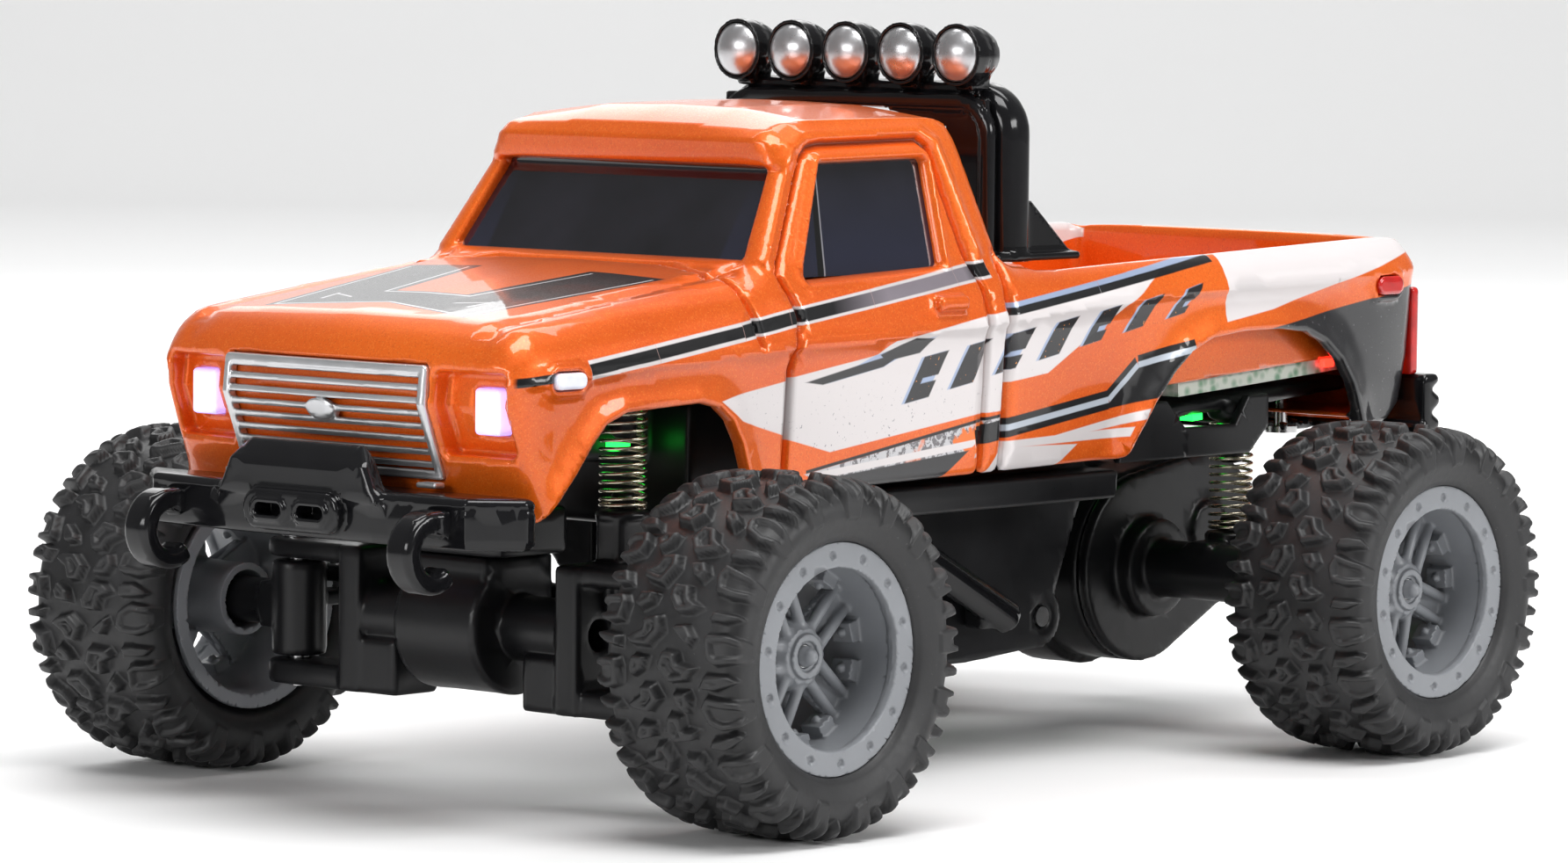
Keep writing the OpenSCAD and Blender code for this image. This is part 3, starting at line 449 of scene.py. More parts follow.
def body_outer(x, y, z):
    ax = np.abs(x)
    lo, fa, ra = lower_outer(x, y, z)
    cab = cab_outer(x, y, z)
    # drip rail above the doors
    rail = line(y, z, [(-29.2, 50.0), (-23.0, 60.0), (-21.0, 61.2), (-4.0, 61.5), (-2.2, 60.4), (0.9, 50)])
    cab = cab - 0.42 * np.exp(-(rail / 0.75) ** 2) * np.clip((ax - 14.0) / 1.5, 0, 1)
    # brow over the windscreen
    win = poly(y, z, SIDE_WIN)
    cab = cab - 0.42 * np.exp(-((win - 0.95) / 0.5) ** 2) * np.clip((ax - 15.0) / 1.5, 0, 1)
    d = smin(lo, cab, 1.6)
    return d, lo, cab, fa, ra, win


def body_sdf(x, y, z):
    ax = np.abs(x)
    d, lo, cab, fa, ra, win = body_outer(x, y, z)
    onside = np.clip((ax - 15.5) / 2.0, 0, 1)
    # cowl plenum with two low humps at the windscreen base
    hump = np.exp(-((y + 29.6) / 1.5) ** 2) * (0.55 + 0.5 * np.exp(-((ax - 12.0) / 2.4) ** 2)) * np.clip((18.6 - ax) / 1.5, 0, 1) * np.clip((z - 46) / 2, 0, 1)
    d = d - 0.7 * hump
    # hood rear edge and the seam running down the fender
    seam = line(y, z, COWL_X)
    seam_t = np.where(ax > 17.2, seam, np.abs(y + 33.6 - 2.0 * np.clip((17.2 - ax) / 6.0, 0, 1)))
    groove = 0.7 * np.exp(-(seam_t / 0.32) ** 2) * np.clip((z - 41.8) / 0.6, 0, 1) * (y < -20)
    groove = groove + 0.85 * np.exp(-(line(y, z, DOOR) / 0.34) ** 2) * onside
    groove = groove + 1.0 * np.exp(-(line(y, z, BEDGAP) / 0.40) ** 2) * np.clip((ax - 19.5) / 1.0, 0, 1)
    # tailgate gaps
    groove = groove + 0.4 * np.exp(-((ax - 19.2) / 0.33) ** 2) * (y > 69.2) * (z > 33)
    d = d + groove
    # door handles
    for cy, cz in ((-5.6, 45.4),):
        d = smin(d, sbox(ax, y, z, (22.3, cy - 2.2, cz - 0.75), (23.9, cy + 2.2, cz + 0.75), 0.55), 0.5)
    # windows
    wcut = smax(win, 15.2 - ax, 0.3)
    wcut = smax(wcut, z - 70, 0.3)
    ws = poly(x, z, [(-17.9, 50.3), (17.9, 50.3), (16.3, 57.9), (-16.3, 57.9)])
    wcut = np.minimum(wcut, smax(smax(ws, y + 19, 0.3), -40 - y, 0.3))
    rw = poly(x, z, [(-13.4, 51.2), (13.4, 51.2), (12.2, 58.2), (-12.2, 58.2)])
    wcut = np.minimum(wcut, smax(smax(rw, -8 - y, 0.3), y - 9, 0.3))
    d = smax(d, -(wcut - 0.35), 0.9)
    # wheel arches, cut right across
    d = smax(d, -fa, 0.55)
    d = smax(d, -ra, 0.55)
    # grille opening and lamp recesses
    gr = box2(ax, z, (-12.6, 31.2), (12.6, 41.6), 0.5)
    frontface = np.interp(z, [27, 31.5, 38, 41.6, 44], [-61.7, -63.3, -65.9, -65.5, -64.8]).astype(F) + (ax / 22) ** 2 * 1.3
    d = smax(d, -smax(gr, y - (frontface + 0.75), 0.4), 0.5)
    lampr = box2(ax, z, (13.3, 33.6), (21.0, 41.0), 0.6)
    d = smax(d, -smax(lampr, y - (frontface + 2.3), 0.6), 0.8)
    hole = box2(ax, z, (16.3, 35.4), (19.5, 39.7), 0.4)
    d = smax(d, -smax(hole, y - (-59.5), 0.4), 0.4)
    # side marker pockets
    mk = box2(y, z, (-60.4, 39.35), (-56.0, 41.35), 0.98)
    d = smin(d, smax(mk - 0.45, ax - (23.05 + 0.28), 0.4), 0.5)
    d = smax(d, -smax(mk + 0.12, 22.5 - ax, 0.1), 0.2)
    mr = box2(y, z, (61.3, 43.75), (65.7, 45.95), 1.05)
    d = smin(d, smax(mr - 0.5, ax - 23.35, 0.4), 0.6)
    d = smax(d, -smax(mr + 0.1, 22.6 - ax, 0.1), 0.2)
    tl = box2(ax, z, (18.5, 35.2), (21.9, 44.6), 0.6)
    d = smax(d, -smax(tl, 69.7 - y, 0.3), 0.3)
    # load bed
    bed = sbox(x, y, z, (-20.6, 8.6, 42.8), (20.6, 67.6, 70), 1.0)
    hump2 = sbox(ax, y, z, (-1, 6, 40), (13.5, 19.5, 46.4), 1.2)
    arch_in = sbox(ax, y, z, (17.6, 33, 40), (25, 57, 45.6), 1.6)
    d = smax(d, -smax(smax(bed, -hump2, 1.2), -arch_in, 1.2), 1.0)
    # hollow inside
    inner, _, _, _, _, _ = body_outer(x, y, z)
    cabin = smax(inner + 1.5, y - 7.0, 0.5)
    cabin = smax(cabin, np.where(z > 32.4, -60.6, -62.2) - y, 0.4)
    under = smax(smax(smax(lo + 1.5, z - 41.3, 0.5), 5.0 - y, 0.3), y - 69.2, 0.3)
    hol = smin(cabin, under, 0.4)
    d = smax(d, -hol, 0.5)
    d = np.maximum(d, -sbox(ax, y, z, (-30, -60, 0), (21.2, 66.2, 31.5)))
    # inner wing above the board
    wing = smax(smax(slab(ax, 19.85, 20.65), slab(y, 24.5, 61.0), 0.2), np.maximum(interp(y, BOARD_TOP) - z, z - 43.0), 0.2)
    d = smin(d, wing, 0.3)
    return d


h_body = 0.28
shell = mesh_from("body_shell_cast", body_sdf, (-25.2, -67.5, 25.5), (25.2, 72.8, 65.8), h_body, 0.12)
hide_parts("body_shell")
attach(shell, "chassis")
print("body faces", len(shell.data.polygons))


def glass_sdf(x, y, z):
    cab = cab_outer(x, y, z)
    return np.maximum(np.maximum(cab + 0.72, -(cab + 1.45)), 48.0 - z)


glass = mesh_from("cab_glass", glass_sdf, (-22, -32, 47.5), (22, 7, 65), 0.5, 0.05)
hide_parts("window_insert")
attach(glass, "chassis")
glass.data.materials.append(MAT["smoked"])

# ------------------------------------------------------------------ paint and decals

def body_paint():
    n = Nodes("metallic_orange")
    x, y, z = n.xyz()
    ax = n.m("ABSOLUTE", x)
    orange_a, orange_b = (0.72, 0.098, 0.003), (0.88, 0.145, 0.005)
    big = n.noise(35.0, 3.0, 0.5)
    flake = n.voronoi(8500.0, "F1", "Color")
    sep = n.new("ShaderNodeSeparateColor")
    n.t.links.new(flake, sep.inputs[0])
    fl = n.ramp(sep.outputs[0], 0.0, 1.0)
    base = n.mix(n.ramp(big, 0.35, 0.65), orange_a, orange_b)
    base = n.mix(n.ramp(sep.outputs[1], 0.75, 1.0, 0.0, 0.28), base, (1.0, 0.34, 0.06))
    base = n.mix(n.ramp(sep.outputs[2], 0.8, 1.0, 0.0, 0.35), base, (0.50, 0.05, 0.003))
    white, dark, black, blue = (0.72, 0.675, 0.675), (0.013, 0.012, 0.014), (0.005, 0.005, 0.006), (0.36, 0.44, 0.62)
    side = n.ramp(ax, 19.6, 19.9)
    # the inner wings stay plain
    side = n.m("MULTIPLY", side, n.m("MAXIMUM", n.m("MAXIMUM", n.ramp(ax, 20.8, 21.0), n.ramp(z, 44.0, 44.3)), n.ramp(y, 21.0, 20.0)))
    speckle = n.noise(2500.0, 2.0, 0.6)

    def layer(col, mask, ink):
        return n.mix(mask, col, ink)

    def P(pts, soft=0.06):
        return n.inside(y, z, pts, soft)

    def band(pts, w):
        """A stripe of half width w along a polyline."""
        out = None
        for (ay, az), (by, bz) in zip(pts[:-1], pts[1:]):
            l = math.hypot(by - ay, bz - az)
            nx, nz = -(bz - az) / l * w, (by - ay) / l * w
            q = P([(ay + nx, az + nz), (by + nx, bz + nz), (by - nx, bz - nz), (ay - nx, az - nz)], 0.05)
            out = q if out is None else n.m("MAXIMUM", out, q)
        return out

    def union(*ms):
        out = ms[0]
        for k in ms[1:]:
            out = n.m("MAXIMUM", out, k)
        return out

    S = base
    # pale wedge from the front arch to the tail
    wedge = union(P([(-38.2, 37.7), (-34.7, 38.2), (-27.6, 39.35), (-27.6, 33.8), (-34.9, 35.7)]),
                  P([(-28.2, 39.3), (-16.0, 40.95), (-1.0, 42.9), (-0.6, 34.75), (-22.0, 32.2), (-28.2, 33.7)]),
                  P([(-16.4, 40.8), (-13.6, 42.15), (-0.8, 44.0), (-0.8, 40.4)]),
                  P([(-1.3, 43.9), (3.4, 44.5), (3.4, 34.9), (-1.3, 34.7)]),
                  P([(2.9, 44.5), (37.0, 48.75), (37.2, 41.6), (23.1, 39.7), (9.5, 38.2), (3.1, 34.8)]),
                  P([(36.6, 48.7), (50, 50.6), (64.6, 50.6), (70.6, 47.4), (70.6, 46.9), (59.5, 45.1), (44.2, 43.1), (36.6, 41.5)]))
    wcol = n.mix(n.m("MULTIPLY", n.ramp(speckle, 0.66, 0.70), n.ramp(z, 40.0, 34.0)), white, (0.30, 0.28, 0.30))
    # painted shade: the white wedge greys around the front door gap
    wcol = n.mix(n.m("MULTIPLY", n.ramp(y, -27.9, -27.0, 0.7, 0.0), n.ramp(y, -29, -28.9)), wcol, (0.35, 0.32, 0.32))
    S = n.mix(wedge, S, wcol)
    # orange field under the bed graphic
    S = n.mix(P([(5.3, 34.6), (9.0, 39.3), (24.0, 39.6), (31.0, 40.8), (31, 36), (20, 35.4)]), S, base)
    # dark rear quarter
    grey = union(P([(36.8, 40.3), (44.9, 41.4), (51.5, 42.6), (58.1, 43.6), (66.3, 44.8), (72.0, 45.3), (72, 28), (52, 28), (37.0, 36.0)]),)
    gcol = n.mix(n.ramp(speckle, 0.69, 0.71), (0.011, 0.011, 0.013), (0.12, 0.115, 0.12))
    S = n.mix(grey, S, gcol)
    # long thin stripe from the front marker to the roll bar
    s1 = [(-65.6, 40.1), (-59.9, 40.7), (-55.5, 41.2), (-46.5, 42.3), (-34.7, 43.8), (-28.1, 44.75), (-16.3, 46.2), (-3.6, 47.8), (1.6, 48.4)]
    S = n.mix(union(band(s1[2:], 0.86)), S, white)
    stripe = union(band(s1[:2], 0.42), band(s1[2:5], 0.52), band(s1[4:], 0.6))
    scol = n.mix(n.ramp(y, -22.0, -14.0), black, (0.25, 0.22, 0.25))
    scol = n.mix(n.ramp(y, -2.0, 0.0), scol, black)
    stripe = n.m("MULTIPLY", stripe, n.m("MAXIMUM", n.ramp(ax, 21.9, 22.2), n.ramp(y, -61.6, -61.2)))
    S = n.mix(stripe, S, scol)
    # rocker wedge
    rk = union(P([(-25.4, 30.3), (-0.6, 34.0), (-0.6, 30.6), (-12, 28), (-21.5, 28.6)]), P([(-0.8, 34.0), (3.0, 34.4), (3.0, 32.4), (-0.8, 31.6)]))
    rcol = n.mix(n.ramp(n.noise(900.0, 4.0, 0.7, 1.0), 0.50, 0.54), (0.56, 0.55, 0.57), (0.16, 0.15, 0.16))
    rcol = n.mix(n.m("MULTIPLY", n.ramp(n.noise(260.0, 3.0, 0.6), 0.55, 0.60), n.ramp(y, -14, -6)), rcol, (0.85, 0.17, 0.01))
    S = n.mix(rk, S, rcol)
    S = n.mix(band([(-24.5, 30.0), (-0.8, 32.0)], 0.34), S, white)
    S = n.mix(P([(-22.0, 29.8), (-0.9, 31.4), (-5.2, 28.8), (-9, 27.4), (-20.5, 27.4)]), S, dark)
    S = n.mix(P([(-0.9, 31.9), (-5.6, 28.8), (-5.6, 26), (-0.9, 26)]), S, base)
    S = n.mix(band([(-25.2, 30.5), (-0.8, 34.05), (3.0, 34.45)], 0.16), S, black)
    # zigzag stripe low on the bed
    zz = [(-0.8, 32.6), (3.1, 33.1), (19.1, 35.2), (23.4, 38.4), (31.5, 39.7)]
    S = n.mix(union(band(zz, 0.95), P([(18.2, 34.2), (23.4, 38.3), (31.5, 39.4), (26.0, 35.1)])), S, black)
    S = n.mix(band(zz[1:], 0.30), S, (0.50, 0.55, 0.62))
    # low slashes
    slash = union(P([(0.2, 28.0), (3.1, 31.4), (14.7, 31.1), (11.6, 29.0), (10, 28)]), P([(9.7, 31.9), (24.9, 34.1), (24.4, 33.1), (11.7, 31.6)]),
                  P([(3.1, 31.9), (22.8, 32.4), (22.2, 31.5), (3.1, 31.2)]))
    S = n.mix(slash, S, white)
    # upper dark bar along the bed rail
    b1 = [(2.9, 44.2), (16.9, 45.95), (35.5, 48.4)]
    S = n.mix(band([(a, b + 0.42) for a, b in b1], 0.42), S, blue)
    S = n.mix(band(b1, 0.36), S, black)
    # slanted blocks
    d1 = union(P([(-26.2, 38.85), (-16.3, 40.5), (-11.2, 41.4), (-15.0, 39.8), (-23.5, 38.5)]), P([(-15.6, 40.95), (-10.8, 42.35), (-8.0, 42.2), (-9.9, 40.9), (-14.7, 40.3)]))
    d1b = union(P([(-26.6, 39.15), (-16.3, 40.95), (-10.9, 42.9), (-7.6, 42.5), (-15.0, 39.8), (-23.5, 38.5)]))
    S = n.mix(d1b, S, blue)
    S = n.mix(d1, S, dark)
    blocks, rims = [], []
    for k in range(7):
        y0 = -10.4 + k * 6.55
        zc = 38.35 + (y0 + 10.4) * 0.148
        hh = 2.15 - 0.12 * k
        w = 3.5 - 0.15 * k
        lean = 2.6
        q = [(y0 - lean * 0.5, zc - hh), (y0 + w - lean * 0.5, zc - hh + 0.5), (y0 + w + lean * 0.5, zc + hh + 0.5), (y0 + lean * 0.5, zc + hh)]
        blocks.append(P(q))
        rims.append(P([(a - 0.42, b - 0.05) for a, b in q]))
        if k % 2 == 0:
            cut = P([(y0 + 0.9, zc - 0.35), (y0 + w + 1.6, zc + 0.15), (y0 + w + 1.8, zc + 0.65), (y0 + 1.2, zc + 0.15)])
            blocks[-1] = n.m("MULTIPLY", blocks[-1], n.m("SUBTRACT", 1.0, cut))
    S = n.mix(union(*rims), S, blue)
    S = n.mix(union(*blocks), S, n.mix(n.ramp(speckle, 0.70, 0.72), dark, (0.8, 0.3, 0.05)))
    col = n.mix(side, base, S)
    # hood graphic
    def H(pts, soft=0.08):
        return n.inside(ax, y, pts, soft)
    onhood = n.m("MULTIPLY", n.ramp(y, -37.6, -37.9), n.ramp(z, 44.6, 44.9))
    onhood = n.m("MULTIPLY", onhood, n.ramp(ax, 17.9, 17.6))
    hood = H([(-1, -57.2), (12.6, -60.6), (16.2, -37), (-1, -37)])
    hood_in = H([(-1, -51.6), (4.4, -51.6), (7.0, -37), (-1, -37)])
    hcol = n.mix(n.ramp(speckle, 0.7, 0.73), (0.012, 0.012, 0.013), (0.06, 0.06, 0.065))
    G = n.mix(hood, base, hcol)
    lines = union(H([(-1, -57.0), (11.7, -60.0), (11.75, -59.7), (-1, -56.7)], 0.05), H([(11.7, -60.0), (12.0, -60.0), (15.5, -38.6), (15.2, -38.6)], 0.05),
                  H([(5.2, -52.2), (5.5, -52.2), (8.0, -38.6), (7.7, -38.6)], 0.05), H([(0, -52.3), (5.4, -52.3), (5.4, -52.0), (0, -52.0)], 0.05))
    G = n.mix(lines, G, (0.72, 0.72, 0.74))
    G = n.mix(hood_in, G, base)
    scr = union(H([(6.4, -55.6), (9.6, -54.2), (9.7, -53.9), (6.6, -55.2)], 0.05), H([(9.0, -56.6), (9.6, -53.6), (9.9, -53.6), (9.4, -56.6)], 0.05))
    G = n.mix(scr, G, (0.72, 0.72, 0.74))
    col = n.mix(onhood, col, G)
    # shade lying in the panel gaps
    def gap(pts, w):
        out = None
        for (ay, az), (by, bz) in zip(pts[:-1], pts[1:]):
            l = math.hypot(by - ay, bz - az)
            ex, ez = (by - ay) / l, (bz - az) / l
            q = P([(ay - ez * w - ex * w, az + ex * w - ez * w), (by - ez * w + ex * w, bz + ex * w + ez * w),
                   (by + ez * w + ex * w, bz - ex * w + ez * w), (ay + ez * w - ex * w, az - ex * w - ez * w)], 0.10)
            out = q if out is None else n.m("MAXIMUM", out, q)
        return out
    gaps = n.m("MULTIPLY", n.m("MAXIMUM", gap(DOOR, 0.17), n.m("MULTIPLY", gap(BEDGAP, 0.2), n.ramp(ax, 19.5, 20))), n.ramp(ax, 15.5, 16.2))
    gaps = n.m("MULTIPLY", gaps, 0.85)
    col = n.mix(gaps, col, (0.10, 0.008, 0.001))
    ink = n.m("MULTIPLY", side, union(wedge, grey, rk))
    metal = n.m("MULTIPLY", n.m("SUBTRACT", 1.0, ink), 0.32)
    rough = n.ramp(n.m("ADD", n.m("MULTIPLY", sep.outputs[0], 0.5), n.m("MULTIPLY", big, 0.5)), 0.2, 0.8, 0.30, 0.42)
    peel = n.noise(330.0, 2.0, 0.5)
    fine = n.bump(n.m("ADD", n.m("MULTIPLY", peel, 1.0), n.m("MULTIPLY", sep.outputs[0], 0.10)), 0.22, 0.05)
    coatn = n.bump(peel, 0.16, 0.05)
    return n.set(color=col, rough=rough, metal=metal, normal=fine, coat=0.75, coat_rough=0.04, coat_normal=coatn, spec=0.35)


MAT["paint"] = body_paint()
shell.data.materials.append(MAT["paint"])

# ------------------------------------------------------------------ wheels

rng = np.random.RandomState(11)


def lathe_x(name, prof, n=96, mat=None):
    """Turns a closed (x, r) outline about the x axis, in millimetres."""
    p, faces = [], []
    m = len(prof)
    for i in range(n):
        a = 2 * math.pi * i / n
        for x, r in prof:
            p.append((x, r * math.cos(a), r * math.sin(a)))
    for i in range(n):
        j = (i + 1) % n
        for k in range(m):
            l = (k + 1) % m
            faces.append((i * m + k, i * m + l, j * m + l, j * m + k))
    ob = finish_mesh(name, p, faces)
    if mat:
        ob.data.materials.append(mat)
    return ob


def resample(pts, ds):
    """Catmull-Rom through pts, then even steps of about ds."""
    q = []
    for i in range(len(pts) - 1):
        p0, p1, p2, p3 = [np.array(pts[max(0, min(len(pts) - 1, i + k))], float) for k in (-1, 0, 1, 2)]
        for t in np.linspace(0, 1, 14, endpoint=False):
            q.append(0.5 * (2 * p1 + (p2 - p0) * t + (2 * p0 - 5 * p1 + 4 * p2 - p3) * t * t + (3 * p1 - p0 - 3 * p2 + p3) * t ** 3))
    q.append(np.array(pts[-1], float))
    q = np.array(q)
    s = np.concatenate([[0], np.cumsum(np.linalg.norm(np.diff(q, axis=0), axis=1))])
    n = max(4, int(round(s[-1] / ds)))
    t = np.linspace(0, s[-1], n + 1)
    return np.stack([np.interp(t, s, q[:, k]) for k in range(2)], 1), t


def tyre_mesh():
    outer = [(-5.9, 10.42), (-6.5, 10.6), (-7.15, 11.0), (-7.7, 11.8), (-7.95, 12.7), (-7.85, 13.6), (-7.35, 14.35), (-6.3, 14.95), (-4, 15.2),
             (0, 15.3), (4, 15.2), (6.3, 14.95), (7.35, 14.35), (7.85, 13.6), (7.95, 12.7), (7.7, 11.8), (7.35, 11.0), (7.0, 10.6), (6.85, 10.46)]
    ds = 0.165
    prof, t = resample(outer, ds)
    mid = t[np.argmin(np.abs(prof[:, 0]) + (prof[:, 1] < 14) * 10)]
    w = t - mid
    na = 680
    tan = np.gradient(prof, axis=0)
    tan /= np.linalg.norm(tan, axis=1, keepdims=True)
    nor = np.stack([-tan[:, 1], tan[:, 0]], 1)
    if nor[len(nor) // 2, 1] < 0:
        nor = -nor
    circ = 2 * math.pi * R_WHEEL
    count = 17
    T = circ / count
    s = (np.arange(na) * circ / na)[:, None] * np.ones((1, len(w)))
    W = np.ones((na, 1)) * w[None, :]
    field = np.full(s.shape, 9.0)
    lugs = [
        [(0.3, 5.0), (1.3, 4.5), (3.0, 4.9), (3.6, 6.3), (3.1, 9.6), (1.0, 9.4), (0.5, 7.0)],
        [(2.2, 0.5), (3.9, -0.2), (5.5, 1.1), (5.2, 3.2), (4.1, 4.0), (3.5, 2.5), (2.5, 2.1)],
        [(0.2, 1.3), (1.5, 1.9), (2.4, 3.3), (1.3, 3.9), (0.1, 3.2)],
        [(4.3, 5.1), (5.7, 4.6), (5.9, 6.2), (5.0, 8.3), (4.2, 7.4)],
    ]
    for side in (1, -1):
        off = 0 if side > 0 else T * 0.52
        for k in range(count):
            for li, lug in enumerate(lugs):
                j = rng.uniform(-0.28, 0.28, (len(lug), 2))
                sh = rng.uniform(-0.2, 0.2, 2)
                pts = [(a + sh[0] + jj[0], b + sh[1] + jj[1]) for (a, b), jj in zip(lug, j)]
                s0 = k * T + off
                # work near the lug only, with wrap-around
                u = (s[:, 0] - s0 + circ / 2) % circ - circ / 2
                rows = np.where((u > -2.0) & (u < T + 2.0))[0]
                U = u[rows][:, None] * np.ones((1, len(w)))
                V = W[rows] * side
                cols = np.where((w * side > -2) & (w * side < 11))[0]
                d = poly(U[:, cols], V[:, cols], pts)
                sub = field[np.ix_(rows, cols)]
                field[np.ix_(rows, cols)] = np.minimum(sub, d)
    h = np.clip(0.5 - (field + 0.20) / 0.34, 0, 1)
    h = h * h * (3 - 2 * h)
    dish = np.clip((-field - 0.72) / 0.28, 0, 1)
    h = h - 0.42 * dish * dish * (3 - 2 * dish)
    # worn, uneven tops
    base = np.zeros_like(h)
    for fs, fw, ph in ((3.1, 0.9, 0.3), (5.7, 1.7, 1.1), (9.3, 2.3, 2.0)):
        base += 0.015 * np.sin(2 * math.pi * (np.round(fs * 7) * s / circ) + fw * W + ph)
    full = 1.0
    fade = np.clip((9.9 - np.abs(W)) / 2.2, 0, 1)
    height = full * h * (0.28 + 0.72 * fade) * np.clip((10.0 - np.abs(W)) / 0.8, 0, 1) * (1 + base)
    P = prof[None, :, :] + nor[None, :, :] * height[:, :, None]
    P[:, :, 1] = np.minimum(P[:, :, 1], R_WHEEL - 0.002)
    P[:, :, 0] = np.clip(P[:, :, 0], -8.18, 8.18)
    inner = [(6.6, 10.42), (6.2, 10.2), (5.62, 9.86), (4.2, 9.84), (-4.6, 9.84), (-5.6, 9.86), (-6.0, 10.1)]
    m = len(w) + len(inner)
    a = 2 * math.pi * np.arange(na) / na
    X = np.concatenate([P[:, :, 0], np.tile([q[0] for q in inner], (na, 1))], 1)
    Rr = np.concatenate([P[:, :, 1], np.tile([q[1] for q in inner], (na, 1))], 1)
    pts = np.stack([X, Rr * np.cos(a)[:, None], Rr * np.sin(a)[:, None]], 2).reshape(-1, 3)
    faces = []
    for i in range(na):
        j = (i + 1) % na
        for k in range(m):
            l = (k + 1) % m
            faces.append((i * m + k, i * m + l, j * m + l, j * m + k))
    return finish_mesh("tyre_lugged", pts, faces)


def rim_sdf(x, y, z):
    r = np.sqrt(y * y + z * z)
    th = np.arctan2(z, y)
    barrel = poly(x, r, [(-7.35, 9.0), (-7.35, 10.3), (-6.75, 10.3), (-6.5, 9.75), (5.6, 9.75), (5.75, 9.9), (5.8, 8.45), (3.0, 8.35), (0, 8.3), (-5, 8.75)]) - 0.04
    ring = poly(x, r, [(5.75, 8.3), (6.3, 8.12), (6.7, 8.22), (6.7, 10.3), (5.85, 10.3)]) - 0.08
    n = 14
    t = (th + math.pi / n) % (2 * math.pi / n) - math.pi / n
    dy, dz = r * np.cos(t) - 9.28, r * np.sin(t)
    dimple = np.sqrt(dy ** 2 + dz ** 2 + ((x - 6.85) * 0.9) ** 2) - 0.42
    d = smin(barrel, ring, 0.3)
    d = smax(d, -dimple, 0.12)
    # five spoke pairs
    m = 5
    t5 = (th - 0.5 * math.pi + math.pi / m) % (2 * math.pi / m) - math.pi / m
    u, v = r * np.cos(t5), r * np.sin(t5)
    av = np.abs(v)
    k = np.clip((u - 1.5) / 7.2, 0, 1)
    xs = 2.35 - 1.15 * k
    rod = np.sqrt(((x - xs) * 0.95) ** 2 + (av - (1.02 + 0.18 * k)) ** 2) - (0.52 - 0.05 * k)
    rod = smax(rod, u - 9.0, 0.2)
    rod = smax(rod, 1.0 - u, 0.2)
    web = np.maximum(np.maximum(slab(x, 0.35, 1.0), av - (1.45 + 0.1 * k)), np.maximum(u - 9.0, 1.0 - u)) - 0.05
    spokes = smin(rod, web, 0.45)
    d = smin(d, spokes, 0.35)
    # clamp blocks beside the spokes, with a bolt head on each
    for off in (0.40, -0.40):
        tb = (t5 - off + math.pi / m) % (2 * math.pi / m) - math.pi / m
        ub, vb = r * np.cos(tb), r * np.sin(tb)
        blk = np.maximum(np.maximum(slab(x, 0.2, 2.3), slab(ub, 7.2, 8.6)), np.abs(vb) - 0.85) - 0.12
        bolt = np.sqrt((x - 1.3) ** 2 + vb ** 2 + ((ub - 7.05) * 0.9) ** 2) - 0.42
        d = smin(d, smin(blk, bolt, 0.1), 0.3)
    # hub: stepped boss, raised ring
    fac = r * (1 + 0.035 * np.cos(10 * th))
    hub = poly(x, fac, [(-1.0, 0), (-1.0, 3.4), (0.9, 3.3), (2.2, 2.75), (2.9, 2.35), (3.0, 0)]) - 0.12
    ringh = poly(x, r, [(2.4, 1.45), (3.35, 1.45), (3.35, 1.95), (2.4, 2.1)]) - 0.08
    tube = poly(x, r, [(-6.1, 2.8), (-6.1, 3.4), (-0.5, 3.4), (-0.5, 2.8)]) - 0.04
    d = smin(d, hub, 0.45)
    d = smin(d, ringh, 0.15)
    d = smin(d, tube, 0.3)
    d = np.maximum(d, 1.03 - r)
    d = np.maximum(d, -np.maximum(r - 2.75, x + 1.2))
    return d


rim_obj = mesh_from("rim_five_pair", rim_sdf, (-7.9, -10.9, -10.9), (7.3, 10.9, 10.9), 0.20, 0.10)
rim_obj.data.materials.append(MAT["rim"])
tyre_obj = tyre_mesh()
tyre_obj.data.materials.append(MAT["tyre"])
screw_obj = lathe_x("hub_pin", [(2.5, 0.02), (2.5, 0.95), (3.25, 0.95), (3.35, 0.8), (3.7, 0.78), (4.0, 0.62), (4.25, 0.35), (4.33, 0.02)], 32, MAT["rim"])
print("rim faces", len(rim_obj.data.polygons), "tyre faces", len(tyre_obj.data.polygons))


def put_wheel(tag, side, y, body, nodes, turn):
    rot = Matrix.Rotation(0 if side > 0 else math.pi, 4, "Z") @ Matrix.Rotation(turn, 4, "X")
    place = Matrix.Translation(Vector((side * X_WHEEL, y, R_WHEEL)) * MM)
    out = []
    for src, name, node, slot in ((rim_obj, "rim", nodes[0], "rim_silver"), (tyre_obj, "tyre", nodes[1], "tyre"), (screw_obj, "hub_pin", nodes[2], "steel")):
        me = src.data.copy()
        me.transform(rot)
        me.update()
        ob = bpy.data.objects.new(name + "_" + tag, me)
        bpy.context.scene.collection.objects.link(ob)
        ob.matrix_world = place
        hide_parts(node)
        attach(ob, body)
        out.append(ob)
    return out


put_wheel("front_left", 1, Y_F, "front_left_wheel", ("front_left_rim", "front_left_tyre", "front_left_wheel_screw"), 0.30)
put_wheel("front_right", -1, Y_F, "front_right_wheel", ("front_right_rim", "front_right_tyre", "front_right_wheel_screw"), 1.1)
put_wheel("rear_left", 1, Y_R, "rear_wheelset", ("rear_rims", "rear_tyres", "rear_wheel_screws"), 0.62)
put_wheel("rear_right", -1, Y_R, "rear_wheelset", ("rear_rims", "rear_tyres", "rear_wheel_screws"), 2.0)
for o in (rim_obj, tyre_obj, screw_obj):
    bpy.data.objects.remove(o)

# ------------------------------------------------------------------ moulded parts from the frame, with soft edges

BODIES = frame["record"]["behaviour"]["bodies"]
BODY_OF = {nn: b for b, ns in BODIES.items() for nn in ns}


